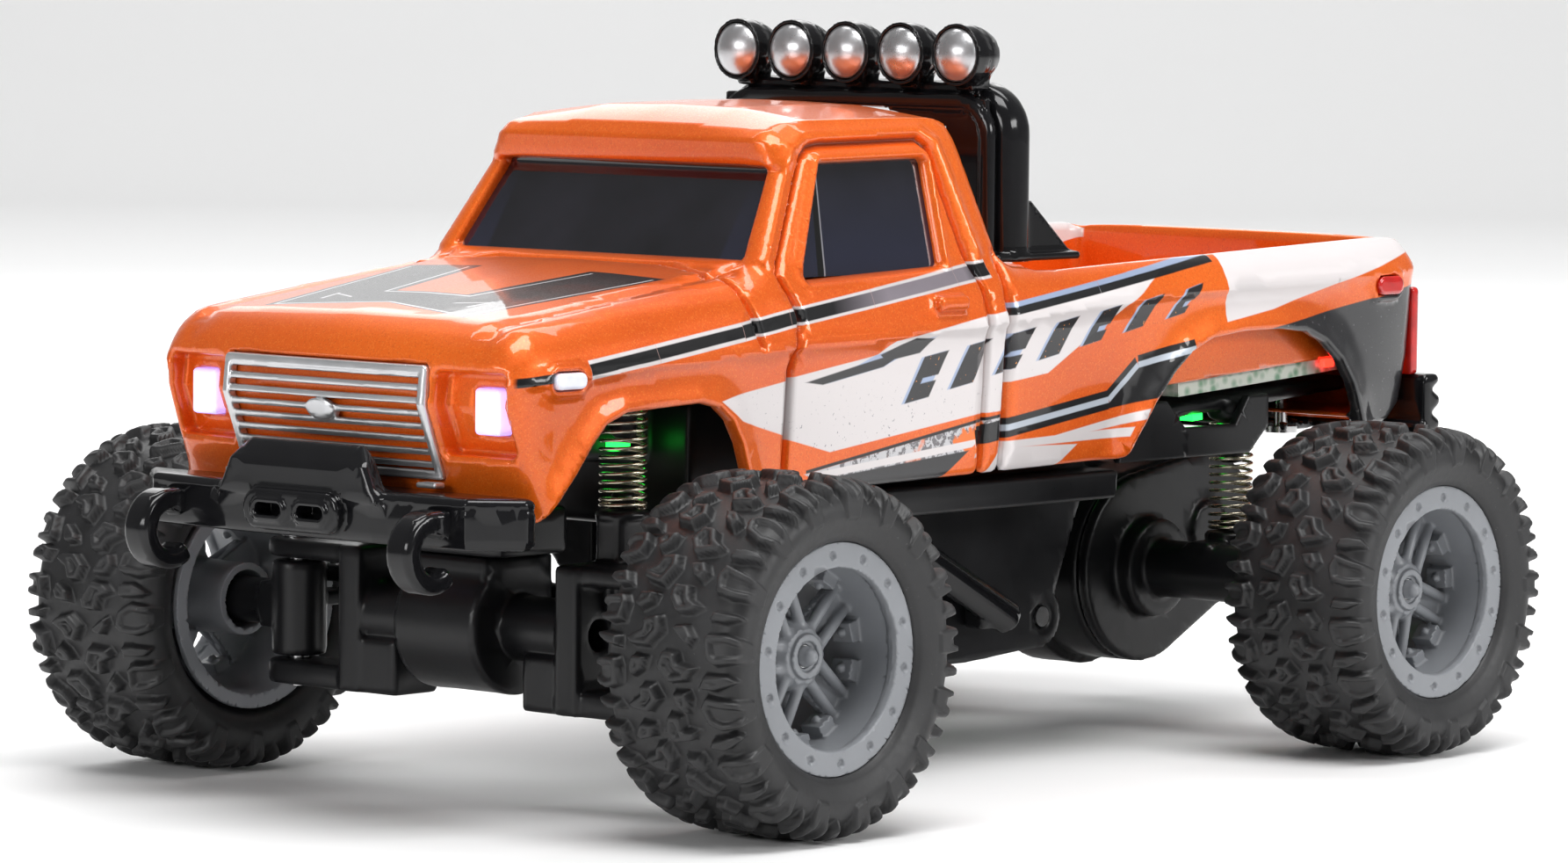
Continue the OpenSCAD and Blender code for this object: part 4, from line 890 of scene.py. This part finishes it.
def cad_mesh(node):
    me = frame["nodes"][node].data
    p = np.zeros(len(me.vertices) * 3)
    me.vertices.foreach_get("co", p)
    me.calc_loop_triangles()
    t = np.zeros(len(me.loop_triangles) * 3, np.int32)
    me.loop_triangles.foreach_get("vertices", t)
    return (p.reshape(-1, 3) / MM), t.reshape(-1, 3)


def soften(node, r, h, mat, adapt=0.15, extra=None, name=None):
    """A moulded copy of a CAD node: its own shape with every outer edge rounded to radius r."""
    p, t = cad_mesh(node)
    # join split vertices so that the surface is closed
    key = np.round(p, 4)
    uniq, inv = np.unique(key, axis=0, return_inverse=True)
    t = inv.reshape(-1)[t]
    t = t[(t[:, 0] != t[:, 1]) & (t[:, 1] != t[:, 2]) & (t[:, 0] != t[:, 2])]
    xf = vdb.createLinearTransform(voxelSize=h)
    half = r / h + 3.0
    g = vdb.FloatGrid.createLevelSetFromPolygons(uniq.astype(F), triangles=t.astype(np.uint32), transform=xf, halfWidth=half)
    q, tr, qu = g.convertToPolygons(isovalue=-r, adaptivity=0.0)
    if len(q):
        g = vdb.FloatGrid.createLevelSetFromPolygons(q.astype(F), triangles=tr.astype(np.uint32) if len(tr) else np.zeros((0, 3), np.uint32), quads=qu.astype(np.uint32), transform=xf, halfWidth=half)
    q, tr, qu = g.convertToPolygons(isovalue=r if len(q) else 0.0, adaptivity=adapt)
    # normals from the field itself, so that long flat faces shade evenly
    lo = np.floor(q.min(0) / h).astype(int) - 3
    dims = np.ceil(q.max(0) / h).astype(int) + 4 - lo
    dense = np.zeros(tuple(int(v) for v in dims), F)
    g.copyToArray(dense, ijk=tuple(int(v) for v in lo))
    u = q / h - lo

    def at(c):
        i = np.clip(np.floor(c).astype(int), 0, dims - 2)
        w = (c - i).astype(F)
        out = 0
        for a in (0, 1):
            for b in (0, 1):
                for k in (0, 1):
                    wt = np.abs(1 - a - w[:, 0]) * np.abs(1 - b - w[:, 1]) * np.abs(1 - k - w[:, 2])
                    out = out + wt * dense[i[:, 0] + a, i[:, 1] + b, i[:, 2] + k]
        return out

    nor = np.stack([at(u + o) - at(u - o) for o in np.eye(3) * 0.75], 1)
    nor = nor / np.maximum(np.linalg.norm(nor, axis=1, keepdims=True), 1e-9)
    faces = [tuple(int(k) for k in a) for a in tr] + [tuple(int(k) for k in a) for a in qu]
    ob = finish_mesh(name or node + "_moulded", q, faces, nor)
    ob.data.materials.append(mat)
    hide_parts(node)
    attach(ob, BODY_OF[node])
    return ob


def sdf_piece(name, node, f, lo, hi, h, mat, adapt=0.08, body=None):
    ob = mesh_from(name, f, lo, hi, h * (1.0), adapt)
    ob.data.materials.append(mat)
    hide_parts(*([node] if isinstance(node, str) else node))
    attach(ob, body or BODY_OF[node if isinstance(node, str) else node[0]])
    return ob


def show(node, mat):
    o = frame["nodes"][node]
    if not o.data.materials:
        o.data.materials.append(mat)
    for i in range(len(o.material_slots)):
        o.material_slots[i].link = "OBJECT"
        o.material_slots[i].material = mat


# front bumper: a glossy bar with a raised box and a fairlead plate
def bumper_sdf(x, y, z):
    ax = np.abs(x)
    plan = poly(x, y, [(-23.9, -64.2), (-23.9, -62.9), (23.9, -62.9), (23.9, -64.2), (19.8, -67.7), (9.2, -68.6), (-9.2, -68.6), (-19.8, -67.7)])
    bar = smax(plan + 0.05, slab(z, 25.6, 30.3), 0.9)
    # a shallow step along the face
    bar = bar + 0.10 * np.exp(-((z - 29.2) / 0.3) ** 2)
    box = smax(poly(x, z, [(-10.2, 29.0), (10.2, 29.0), (8.4, 32.8), (7.0, 34.35), (-7.0, 34.35), (-8.4, 32.8)]), poly(y, z, [(-69, 29), (-69, 32.4), (-67.7, 34.35), (-66.9, 34.35), (-66.9, 29.5), (-64, 28.5)]), 0.7)
    d = smin(bar, box, 0.6)
    plate = smax(box2(ax, z, (-6, 26.2), (6.0, 29.9), 1.7), slab(y, -69.7, -68.2), 0.4)
    d = smin(d, plate, 0.3)
    slot = box2(ax, z, (0.75, 27.25), (4.55, 28.85), 0.78)
    d = smax(d, -np.maximum(slot, y + 67.6), 0.25)
    # the round fairlead lip
    lip = smax(np.abs(slot) - 0.28, slab(y, -69.95, -69.0), 0.3)
    d = smin(d, np.where(ax < 5.4, lip, 9), 0.2)
    leg = np.minimum(sbox(ax, y, z, (5.5, -64, 27.4), (8.5, -59.9, 30.2), 0.3), sbox(x, y, z, (-8.5, -63.4, 27.4), (8.5, -60.1, 28.6), 0.3))
    return smin(d, leg, 0.4)


sdf_piece("bumper_bar_front", "front_bumper", bumper_sdf, (-24.6, -70.6, 25), (24.6, -59.3, 35), 0.24, MAT["gloss_black"])


# tow hooks
def hooks_sdf(x, y, z):
    ax = np.abs(x) - 16.6
    ring = np.sqrt((y + 69.3) ** 2 + (z - 25.4) ** 2)
    ang = np.arctan2(z - 25.4, y + 69.3)
    d2 = np.abs(ring - 2.75) - 0.95
    mouth = poly(y, z, [(-69.0, 25.9), (-63.5, 27.0), (-63.5, 22.0), (-67.0, 22.9)])
    d = smax(smax(d2, np.abs(ax) - 1.5, 0.7), -mouth, 0.5)
    arm = sbox(ax, y, z, (-1.5, -68.9, 27.0), (1.5, -65.6, 29.0), 0.5)
    d = smin(d, arm, 0.5)
    return d


sdf_piece("tow_hook_pair", "tow_hooks", hooks_sdf, (-19, -73.1, 21.2), (19, -65.2, 29.6), 0.22, MAT["gloss_black"])

# rear bumper, chassis and running gear
soften("rear_bumper", 0.28, 0.2, MAT["gloss_black"])
soften("chassis_frame", 0.25, 0.34, MAT["satin_black"], 0.35)
soften("link_mount", 0.35, 0.26, MAT["satin_black"], 0.3)
soften("skid_braces", 0.4, 0.22, MAT["gloss_black"])
soften("front_arm", 0.25, 0.2, MAT["satin_black"])
soften("rear_arm", 0.22, 0.2, MAT["satin_black"])
soften("front_axle_housing", 0.3, 0.24, MAT["satin_black"])
soften("rear_axle_housing", 0.28, 0.26, MAT["satin_black"])
soften("gear_case_cover", 0.25, 0.24, MAT["satin_black"])
soften("left_knuckle", 0.25, 0.2, MAT["satin_black"])
soften("right_knuckle", 0.25, 0.2, MAT["satin_black"])
soften("steering_servo", 0.4, 0.24, MAT["satin_black"])
soften("tie_rod", 0.18, 0.15, MAT["satin_black"])


# roll bar: two hoops side by side with a front flange and rear gussets
def roll_sdf(x, y, z):
    ax = np.abs(x)

    def hoop(yc, r, flat=1.0):
        # centre line in x z: vertical at 17, corner radius 3.6, top at 64.4
        qx, qz = ax - (17.0 - 3.6), z - (64.35 - 3.6)
        corner = np.sqrt(np.maximum(qx, 0) ** 2 + np.maximum(qz, 0) ** 2) + np.minimum(np.maximum(qx, qz), 0) - 3.6
        return np.sqrt(corner ** 2 + ((y - yc) * flat) ** 2) - r

    d = smin(hoop(9.75, 1.36), hoop(11.15, 1.36), 0.9)
    qx, qz = ax - (17.2 - 4.0), z - (64.5 - 4.0)
    corner = np.sqrt(np.maximum(qx, 0) ** 2 + np.maximum(qz, 0) ** 2) + np.minimum(np.maximum(qx, qz), 0) - 4.0
    flange = smax(np.abs(corner + 0.55) - 0.8, slab(y, 6.7, 8.0), 0.6)
    d = smin(d, flange, 0.35)
    # corner plates between the legs and the cab
    web = np.maximum(poly(ax, z, [(16.6, 52.0), (16.6, 64.2), (4.0, 64.2), (4.0, 63.0), (11.5, 61.5)]), slab(y, 7.1, 7.8)) - 0.05
    d = smin(d, web, 0.2)
    gus = smax(poly(y, z, [(12.4, 54.4), (13.0, 54.4), (19.6, 49.0), (12.4, 49.0)]), slab(ax, 16.35, 17.65), 0.3)
    d = smin(d, gus, 0.4)
    foot = sbox(ax, y, z, (15.5, 7.0, 48.6), (18.5, 19.6, 49.4), 0.3)
    d = smin(d, foot, 0.4)
    # lamp bar pads on top
    pad = sbox(x, y, z, (-14.6, 7.6, 64.6), (14.6, 10.4, 65.7), 0.4)
    d = smin(d, pad, 0.4)
    return smax(d, 48.6 - z, 0.1)


sdf_piece("roll_bar_hoops", "roll_bar", roll_sdf, (-19.2, 6.6, 48.3), (19.2, 20, 66.2), 0.26, MAT["gloss_black"])


# roof lamps
def pods_sdf(x, y, z):
    k = np.clip(np.round(x / 7.0), -2, 2)
    u = x - 7.0 * k
    r = np.sqrt(u * u + (z - 68.4) ** 2)
    yy = 8.7 - y
    body = poly(yy, r, [(-1.6, 0), (-1.5, 1.3), (-0.9, 2.2), (0.4, 2.75), (1.9, 2.98), (3.15, 2.98), (3.15, 2.7), (2.5, 2.62), (2.5, 0)]) - 0.02
    for c in (0.2, 1.2):
        body = body + 0.10 * np.exp(-((yy - c) / 0.16) ** 2)
    stalk = sbox(u, y, z, (-1.15, 6.9, 64.9), (1.15, 9.6, 67.0), 0.35)
    d = smin(body, stalk, 0.6)
    return d


sdf_piece("lamp_pods", "roof_lamp_housings", pods_sdf, (-17.6, 5.2, 64.6), (17.6, 10.8, 71.7), 0.2, MAT["gloss_black"])


def lamp_faces():
    prof = [(0.0, 1.85)]
    for i in range(1, 9):
        r = 2.56 * i / 8
        prof.append((r, 1.85 - 1.15 * (i / 8) ** 2.2))
    prof += [(2.56, 0.15), (0.0, 0.1)]
    p, faces = [], []
    n = 48
    for k in range(-2, 3):
        base = len(p)
        c = (7.0 * k, 6.25, 68.4)
        p.append((c[0], c[1] - prof[0][1], c[2]))
        for r, d in prof[1:-1]:
            for i in range(n):
                a = 2 * math.pi * i / n
                p.append((c[0] + r * math.cos(a), c[1] - d, c[2] + r * math.sin(a)))
        last = len(p)
        p.append((c[0], c[1] - prof[-1][1], c[2]))
        rings = len(prof) - 2
        for i in range(n):
            j = (i + 1) % n
            faces.append((base, base + 1 + i, base + 1 + j))
            for q in range(rings - 1):
                a0 = base + 1 + q * n
                faces.append((a0 + i, a0 + n + i, a0 + n + j, a0 + j))
            a0 = base + 1 + (rings - 1) * n
            faces.append((a0 + j, a0 + i, last))
    ob = finish_mesh("lamp_faces", p, faces)
    ob.data.materials.append(MAT["reflector"])
    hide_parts("roof_lamp_lenses")
    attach(ob, "chassis")


lamp_faces()


# grille: frame, bars and a plain oval boss
def grille_sdf(x, y, z):
    ax = np.abs(x)
    face = np.interp(z, [31.5, 38, 41.6], [-63.3, -65.9, -65.5]).astype(F) + (ax / 22) ** 2 * 1.3
    e = y - face
    outer = box2(x, z, (-12.7, 31.2), (12.7, 41.5), 0.5)
    frame_d = smax(np.abs(outer + 0.42) - 0.42, slab(e, -0.35, 0.75), 0.3)
    pitch = 1.16
    k = np.clip(np.round((z - 32.55) / pitch), 0, 7)
    zz = z - (32.55 + pitch * k)
    bars = smax(smax(np.abs(zz) - 0.30, slab(e, -0.18, 0.72), 0.25), outer + 0.4, 0.1)
    d = smin(frame_d, bars, 0.15)
    badge = np.sqrt((x / 1.75) ** 2 + ((z - 37.0) / 1.0) ** 2) - 1.0
    badge = smax(badge * 1.0, slab(e, -0.62, 0.5), 0.3)
    d = smin(d, badge, 0.15)
    # the tabs at the lower corners
    tab = sbox(ax, y, z, (10.9, -64.75, 30.55), (13.3, -63.4, 31.05), 0.15)
    return smin(d, tab, 0.15)


sdf_piece("grille_bars", "grille", grille_sdf, (-13.7, -67.2, 30.2), (13.7, -62.2, 42.1), 0.17, MAT["silver"], 0.05)


def multi_boxes(name, node, boxes, r, h, mat):
    lo = [min(b[0][i] for b in boxes) - 0.4 for i in range(3)]
    hi = [max(b[1][i] for b in boxes) + 0.4 for i in range(3)]

    def f(x, y, z):
        d = None
        for a, b in boxes:
            q = sbox(x, y, z, a, b, r)
            d = q if d is None else np.minimum(d, q)
        return d
    return sdf_piece(name, node, f, lo, hi, h, mat)


def mirrored_box(a, b):
    return [(a, b), ((-b[0], a[1], a[2]), (-a[0], b[1], b[2]))]


def lens_sdf(x, y, z):
    ax = np.abs(x)
    return smax(box2(ax, z, (16.35, 35.45), (19.45, 39.65), 0.4), slab(y, -63.1, -59.8), 0.5)


sdf_piece("head_lights", "headlamp_lenses", lens_sdf, (-20, -64.8, 34.8), (20, -59, 40), 0.22, MAT["white_led"])


def pill_sdf(y0, y1, z0, z1, x0, x1, r):
    def f(x, y, z):
        ax = np.abs(x)
        return smax(box2(y, z, (y0, z0), (y1, z1), r), slab(ax, x0, x1), 0.35)
    return f


sdf_piece("marker_lights_front", "front_side_markers", pill_sdf(-60.15, -56.25, 39.6, 41.1, 22.4, 23.9, 0.72), (-24.2, -60.6, 39.2), (24.2, -55.8, 41.5), 0.16, MAT["clear_lens"])
sdf_piece("marker_lights_rear", "rear_side_markers", pill_sdf(61.45, 65.55, 43.9, 45.8, 22.4, 23.75, 0.9), (-24.2, 61, 43.5), (24.2, 66, 46.2), 0.16, MAT["red_lens"])


def tail_sdf(x, y, z):
    ax = np.abs(x)
    return smax(box2(ax, z, (18.65, 35.4), (21.75, 44.4), 0.5), slab(y, 69.75, 70.85), 0.3)


sdf_piece("tail_lights", "tail_lamp_lenses", tail_sdf, (-22.2, 69.4, 35), (22.2, 71.7, 44.8), 0.2, MAT["red_lens"])


# brackets hanging under the frame behind the front wheels
def web_sdf(x, y, z):
    ax = np.abs(x)
    d = smax(poly(ax, z, [(10.2, 25.6), (16.2, 25.6), (15.6, 20.2), (14.2, 18.6), (10.2, 18.6)]), slab(y, -19.1, -17.7), 0.4)
    rib = smax(poly(y, z, [(-19.0, 25.6), (-13.5, 25.6), (-18.0, 19.2), (-19.0, 19.2)]), slab(ax, 13.6, 14.6), 0.3)
    d = smin(d, rib, 0.3)
    # skirts under the board, notched over the side lights
    a = poly(y, z, [(26, 28.4), (26, 34.2), (33.5, 34.2), (36.5, 31.4), (36.5, 28.4)])
    b = poly(y, z, [(36.3, 28.4), (36.3, 31.4), (44.5, 31.4), (46.6, 34.2), (50, 34.2), (50, 31), (47, 28.4)])
    skirt = smax(np.minimum(a, b), slab(ax, 17.6, 18.6), 0.3)
    return np.minimum(d, skirt)


web = mesh_from("frame_brackets", web_sdf, (-19.2, -21, 18), (19.2, 50.8, 34.9), 0.26, 0.08)
web.data.materials.append(MAT["satin_black"])
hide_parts("chassis_frame")
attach(web, "chassis")


# red lights at the rear of the board
def board_red(x, y, z):
    return sbox(np.abs(x), y, z, (19.62, 56.8, 36.6), (20.3, 58.6, 37.5), 0.2)


red = mesh_from("board_rear_lights", board_red, (-20.8, 56.3, 36.1), (20.8, 59.1, 38.0), 0.14, 0.05)
red.data.materials.append(MAT["red_led"])
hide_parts("tail_lamp_lenses")
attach(red, "chassis")


# springs
def sweep(points, r, n):
    pts = np.array(points, float)
    t = np.gradient(pts, axis=0)
    t /= np.linalg.norm(t, axis=1, keepdims=True)
    ref = np.array([0, 0, 1.0])
    a = np.cross(t, ref)
    a /= np.linalg.norm(a, axis=1, keepdims=True)
    b = np.cross(t, a)
    p, faces = [], []
    for i in range(len(pts)):
        for k in range(n):
            c = 2 * math.pi * k / n
            p.append(pts[i] + r * (math.cos(c) * a[i] + math.sin(c) * b[i]))
    for i in range(len(pts) - 1):
        for k in range(n):
            l = (k + 1) % n
            faces.append((i * n + k, (i + 1) * n + k, (i + 1) * n + l, i * n + l))
    faces.append(tuple(range(n - 1, -1, -1)))
    faces.append(tuple((len(pts) - 1) * n + k for k in range(n)))
    return p, faces


def spring(name, x, y, z0, z1, turns, od, wire, node):
    seg = 30
    rc = (od - wire) / 2
    nn = int(turns * seg)
    pts = []
    for i in range(nn + 1):
        t = i / seg
        span = z1 - z0 - wire
        e = 1.3
        w = wire * 1.03
        if t < e:
            h = t * w
        elif t > turns - e:
            h = span - (turns - t) * w
        else:
            h = e * w + (t - e) / (turns - 2 * e) * (span - 2 * e * w)
        a = 2 * math.pi * t
        pts.append((x + rc * math.cos(a), y + rc * math.sin(a), z0 + wire / 2 + h))
    p, faces = sweep(pts, wire / 2, 10)
    ob = finish_mesh(name, p, faces)
    ob.data.materials.append(MAT["spring"])
    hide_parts(node)
    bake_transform(ob)
    return ob


for s, tag in ((1, "left"), (-1, "right")):
    spring("spring_front_" + tag, s * 15, -42, 27.62, 37.58, 14, 4.5, 0.34, "front_springs")
    spring("spring_rear_" + tag, s * 15, 48.5, 20.22, 31.38, 15, 4.5, 0.34, "rear_springs")

# nodes that keep their CAD shape
for node, mat in (("arm_pivot_pins", "steel"), ("battery", "wrap"), ("circuit_board", "board"), ("board_components", "matte_black"), ("battery_leads", "red_wire"),
                  ("switch_housing", "matte_black"), ("charge_socket", "matte_black"), ("underglow_leds", "green_led"), ("body_screws", "steel"), ("switch_slider", "nylon"),
                  ("kingpins", "steel"), ("front_roll_pin", "steel"), ("left_stub_axle", "steel"), ("right_stub_axle", "steel"), ("servo_horn", "nylon"),
                  ("drive_motor", "can"), ("rear_bushings", "brass"), ("rear_roll_pin", "steel"), ("rear_axle_shaft", "steel"), ("axle_gear", "nylon"),
                  ("idler_gear", "nylon"), ("motor_pinion", "brass")):
    show(node, MAT[mat])

# ------------------------------------------------------------------ floor, light and camera

def plain(name, col, rough):
    n = Nodes(name)
    c = n.mix(n.ramp(n.noise(3.0, 3.0), 0.3, 0.7), tuple(v * 0.985 for v in col), col)
    return n.set(color=c, rough=rough, spec=0.3)


def floor():
    # a gently curved sweep: floor rising into a backdrop
    prof = []
    for i in range(9):
        prof.append((-1.6 + i * 0.2, 0.0))
    for i in range(1, 13):
        a = math.pi / 2 * i / 12
        prof.append((1.1 + 0.5 * math.sin(a), 0.5 - 0.5 * math.cos(a)))
    prof.append((1.6, 1.8))
    p, faces = [], []
    d = Vector((-math.sin(math.radians(41.2)), math.cos(math.radians(41.2)), 0))
    r = Vector((d.y, -d.x, 0))
    for s in (-2.4, 2.4):
        for u, v in prof:
            q = d * u + r * s
            p.append((q.x / MM, q.y / MM, (v - 0.00002) / MM))
    m = len(prof)
    for k in range(m - 1):
        faces.append((k, k + 1, m + k + 1, m + k))
    me = bpy.data.meshes.new("studio_sweep")
    me.from_pydata([tuple(c * MM for c in q) for q in p], [], faces)
    me.polygons.foreach_set("use_smooth", np.ones(len(faces), bool))
    me.update()
    if sum(f.normal.z for f in me.polygons) < 0:
        me.flip_normals()
    ob = bpy.data.objects.new("studio_sweep", me)
    bpy.context.scene.collection.objects.link(ob)
    ob.data.materials.append(plain("studio_floor", (0.93, 0.93, 0.93), 0.6))


floor()

world = bpy.data.worlds.new("studio")
bpy.context.scene.world = world
world.use_nodes = True
bg = world.node_tree.nodes["Background"]
bg.inputs[0].default_value = (1.0, 1.0, 1.0, 1.0)
bg.inputs[1].default_value = 0.20


def area(name, pos, target, size, power, size_y=None, color=(1, 1, 1)):
    li = bpy.data.lights.new(name, "AREA")
    li.shape = "RECTANGLE"
    li.size = size
    li.size_y = size_y or size
    li.energy = power
    li.color = color
    ob = bpy.data.objects.new(name, li)
    bpy.context.scene.collection.objects.link(ob)
    ob.location = pos
    ob.rotation_euler = (Vector(target) - Vector(pos)).to_track_quat("-Z", "Y").to_euler()
    return ob


area("key_top", (0.20, -0.10, 0.60), (0, 0, 0.03), 0.50, 3.3, 0.26)
area("side_soft", (0.66, 0.20, 0.30), (0, 0.01, 0.04), 0.46, 2.2, 0.16)
area("front_soft", (-0.02, -0.74, 0.24), (0, 0, 0.04), 0.40, 1.5, 0.16)
area("rear_rim", (-0.5, 0.45, 0.40), (0, 0, 0.05), 0.5, 0.8, 0.30)
area("backdrop", (-0.25, 0.30, 0.85), (-0.75, 0.85, 0.10), 0.9, 8.5, 0.6)
bpy.context.scene.view_settings.view_transform = "Standard"
bpy.context.scene.view_settings.look = "None"

AZ, EL, ROLL, LENS = 41.20, 4.23, 0.60, 157.9
TARGET = Vector((0.39, -3.20, 31.94)) * MM
DIST = 663.0 * MM
a, e, c = math.radians(AZ), math.radians(EL), math.radians(ROLL)
back = Vector((math.sin(a) * math.cos(e), -math.cos(a) * math.cos(e), math.sin(e)))
right = Vector((math.cos(a), math.sin(a), 0))
up = back.cross(right)
r2 = right * math.cos(c) + up * math.sin(c)
u2 = up * math.cos(c) - right * math.sin(c)
cam = bpy.data.cameras.new("camera")
cam.lens = LENS
cam.sensor_width = 36.0
cam.clip_start, cam.clip_end = 0.01, 20
co = bpy.data.objects.new("camera", cam)
bpy.context.scene.collection.objects.link(co)
pos = TARGET + back * DIST
co.matrix_world = Matrix(((r2.x, u2.x, back.x, pos.x), (r2.y, u2.y, back.y, pos.y), (r2.z, u2.z, back.z, pos.z), (0, 0, 0, 1)))
bpy.context.scene.camera = co

bpy.context.view_layer.update()


def flat(b):
    return [[float(v) for v in p] for p in b]
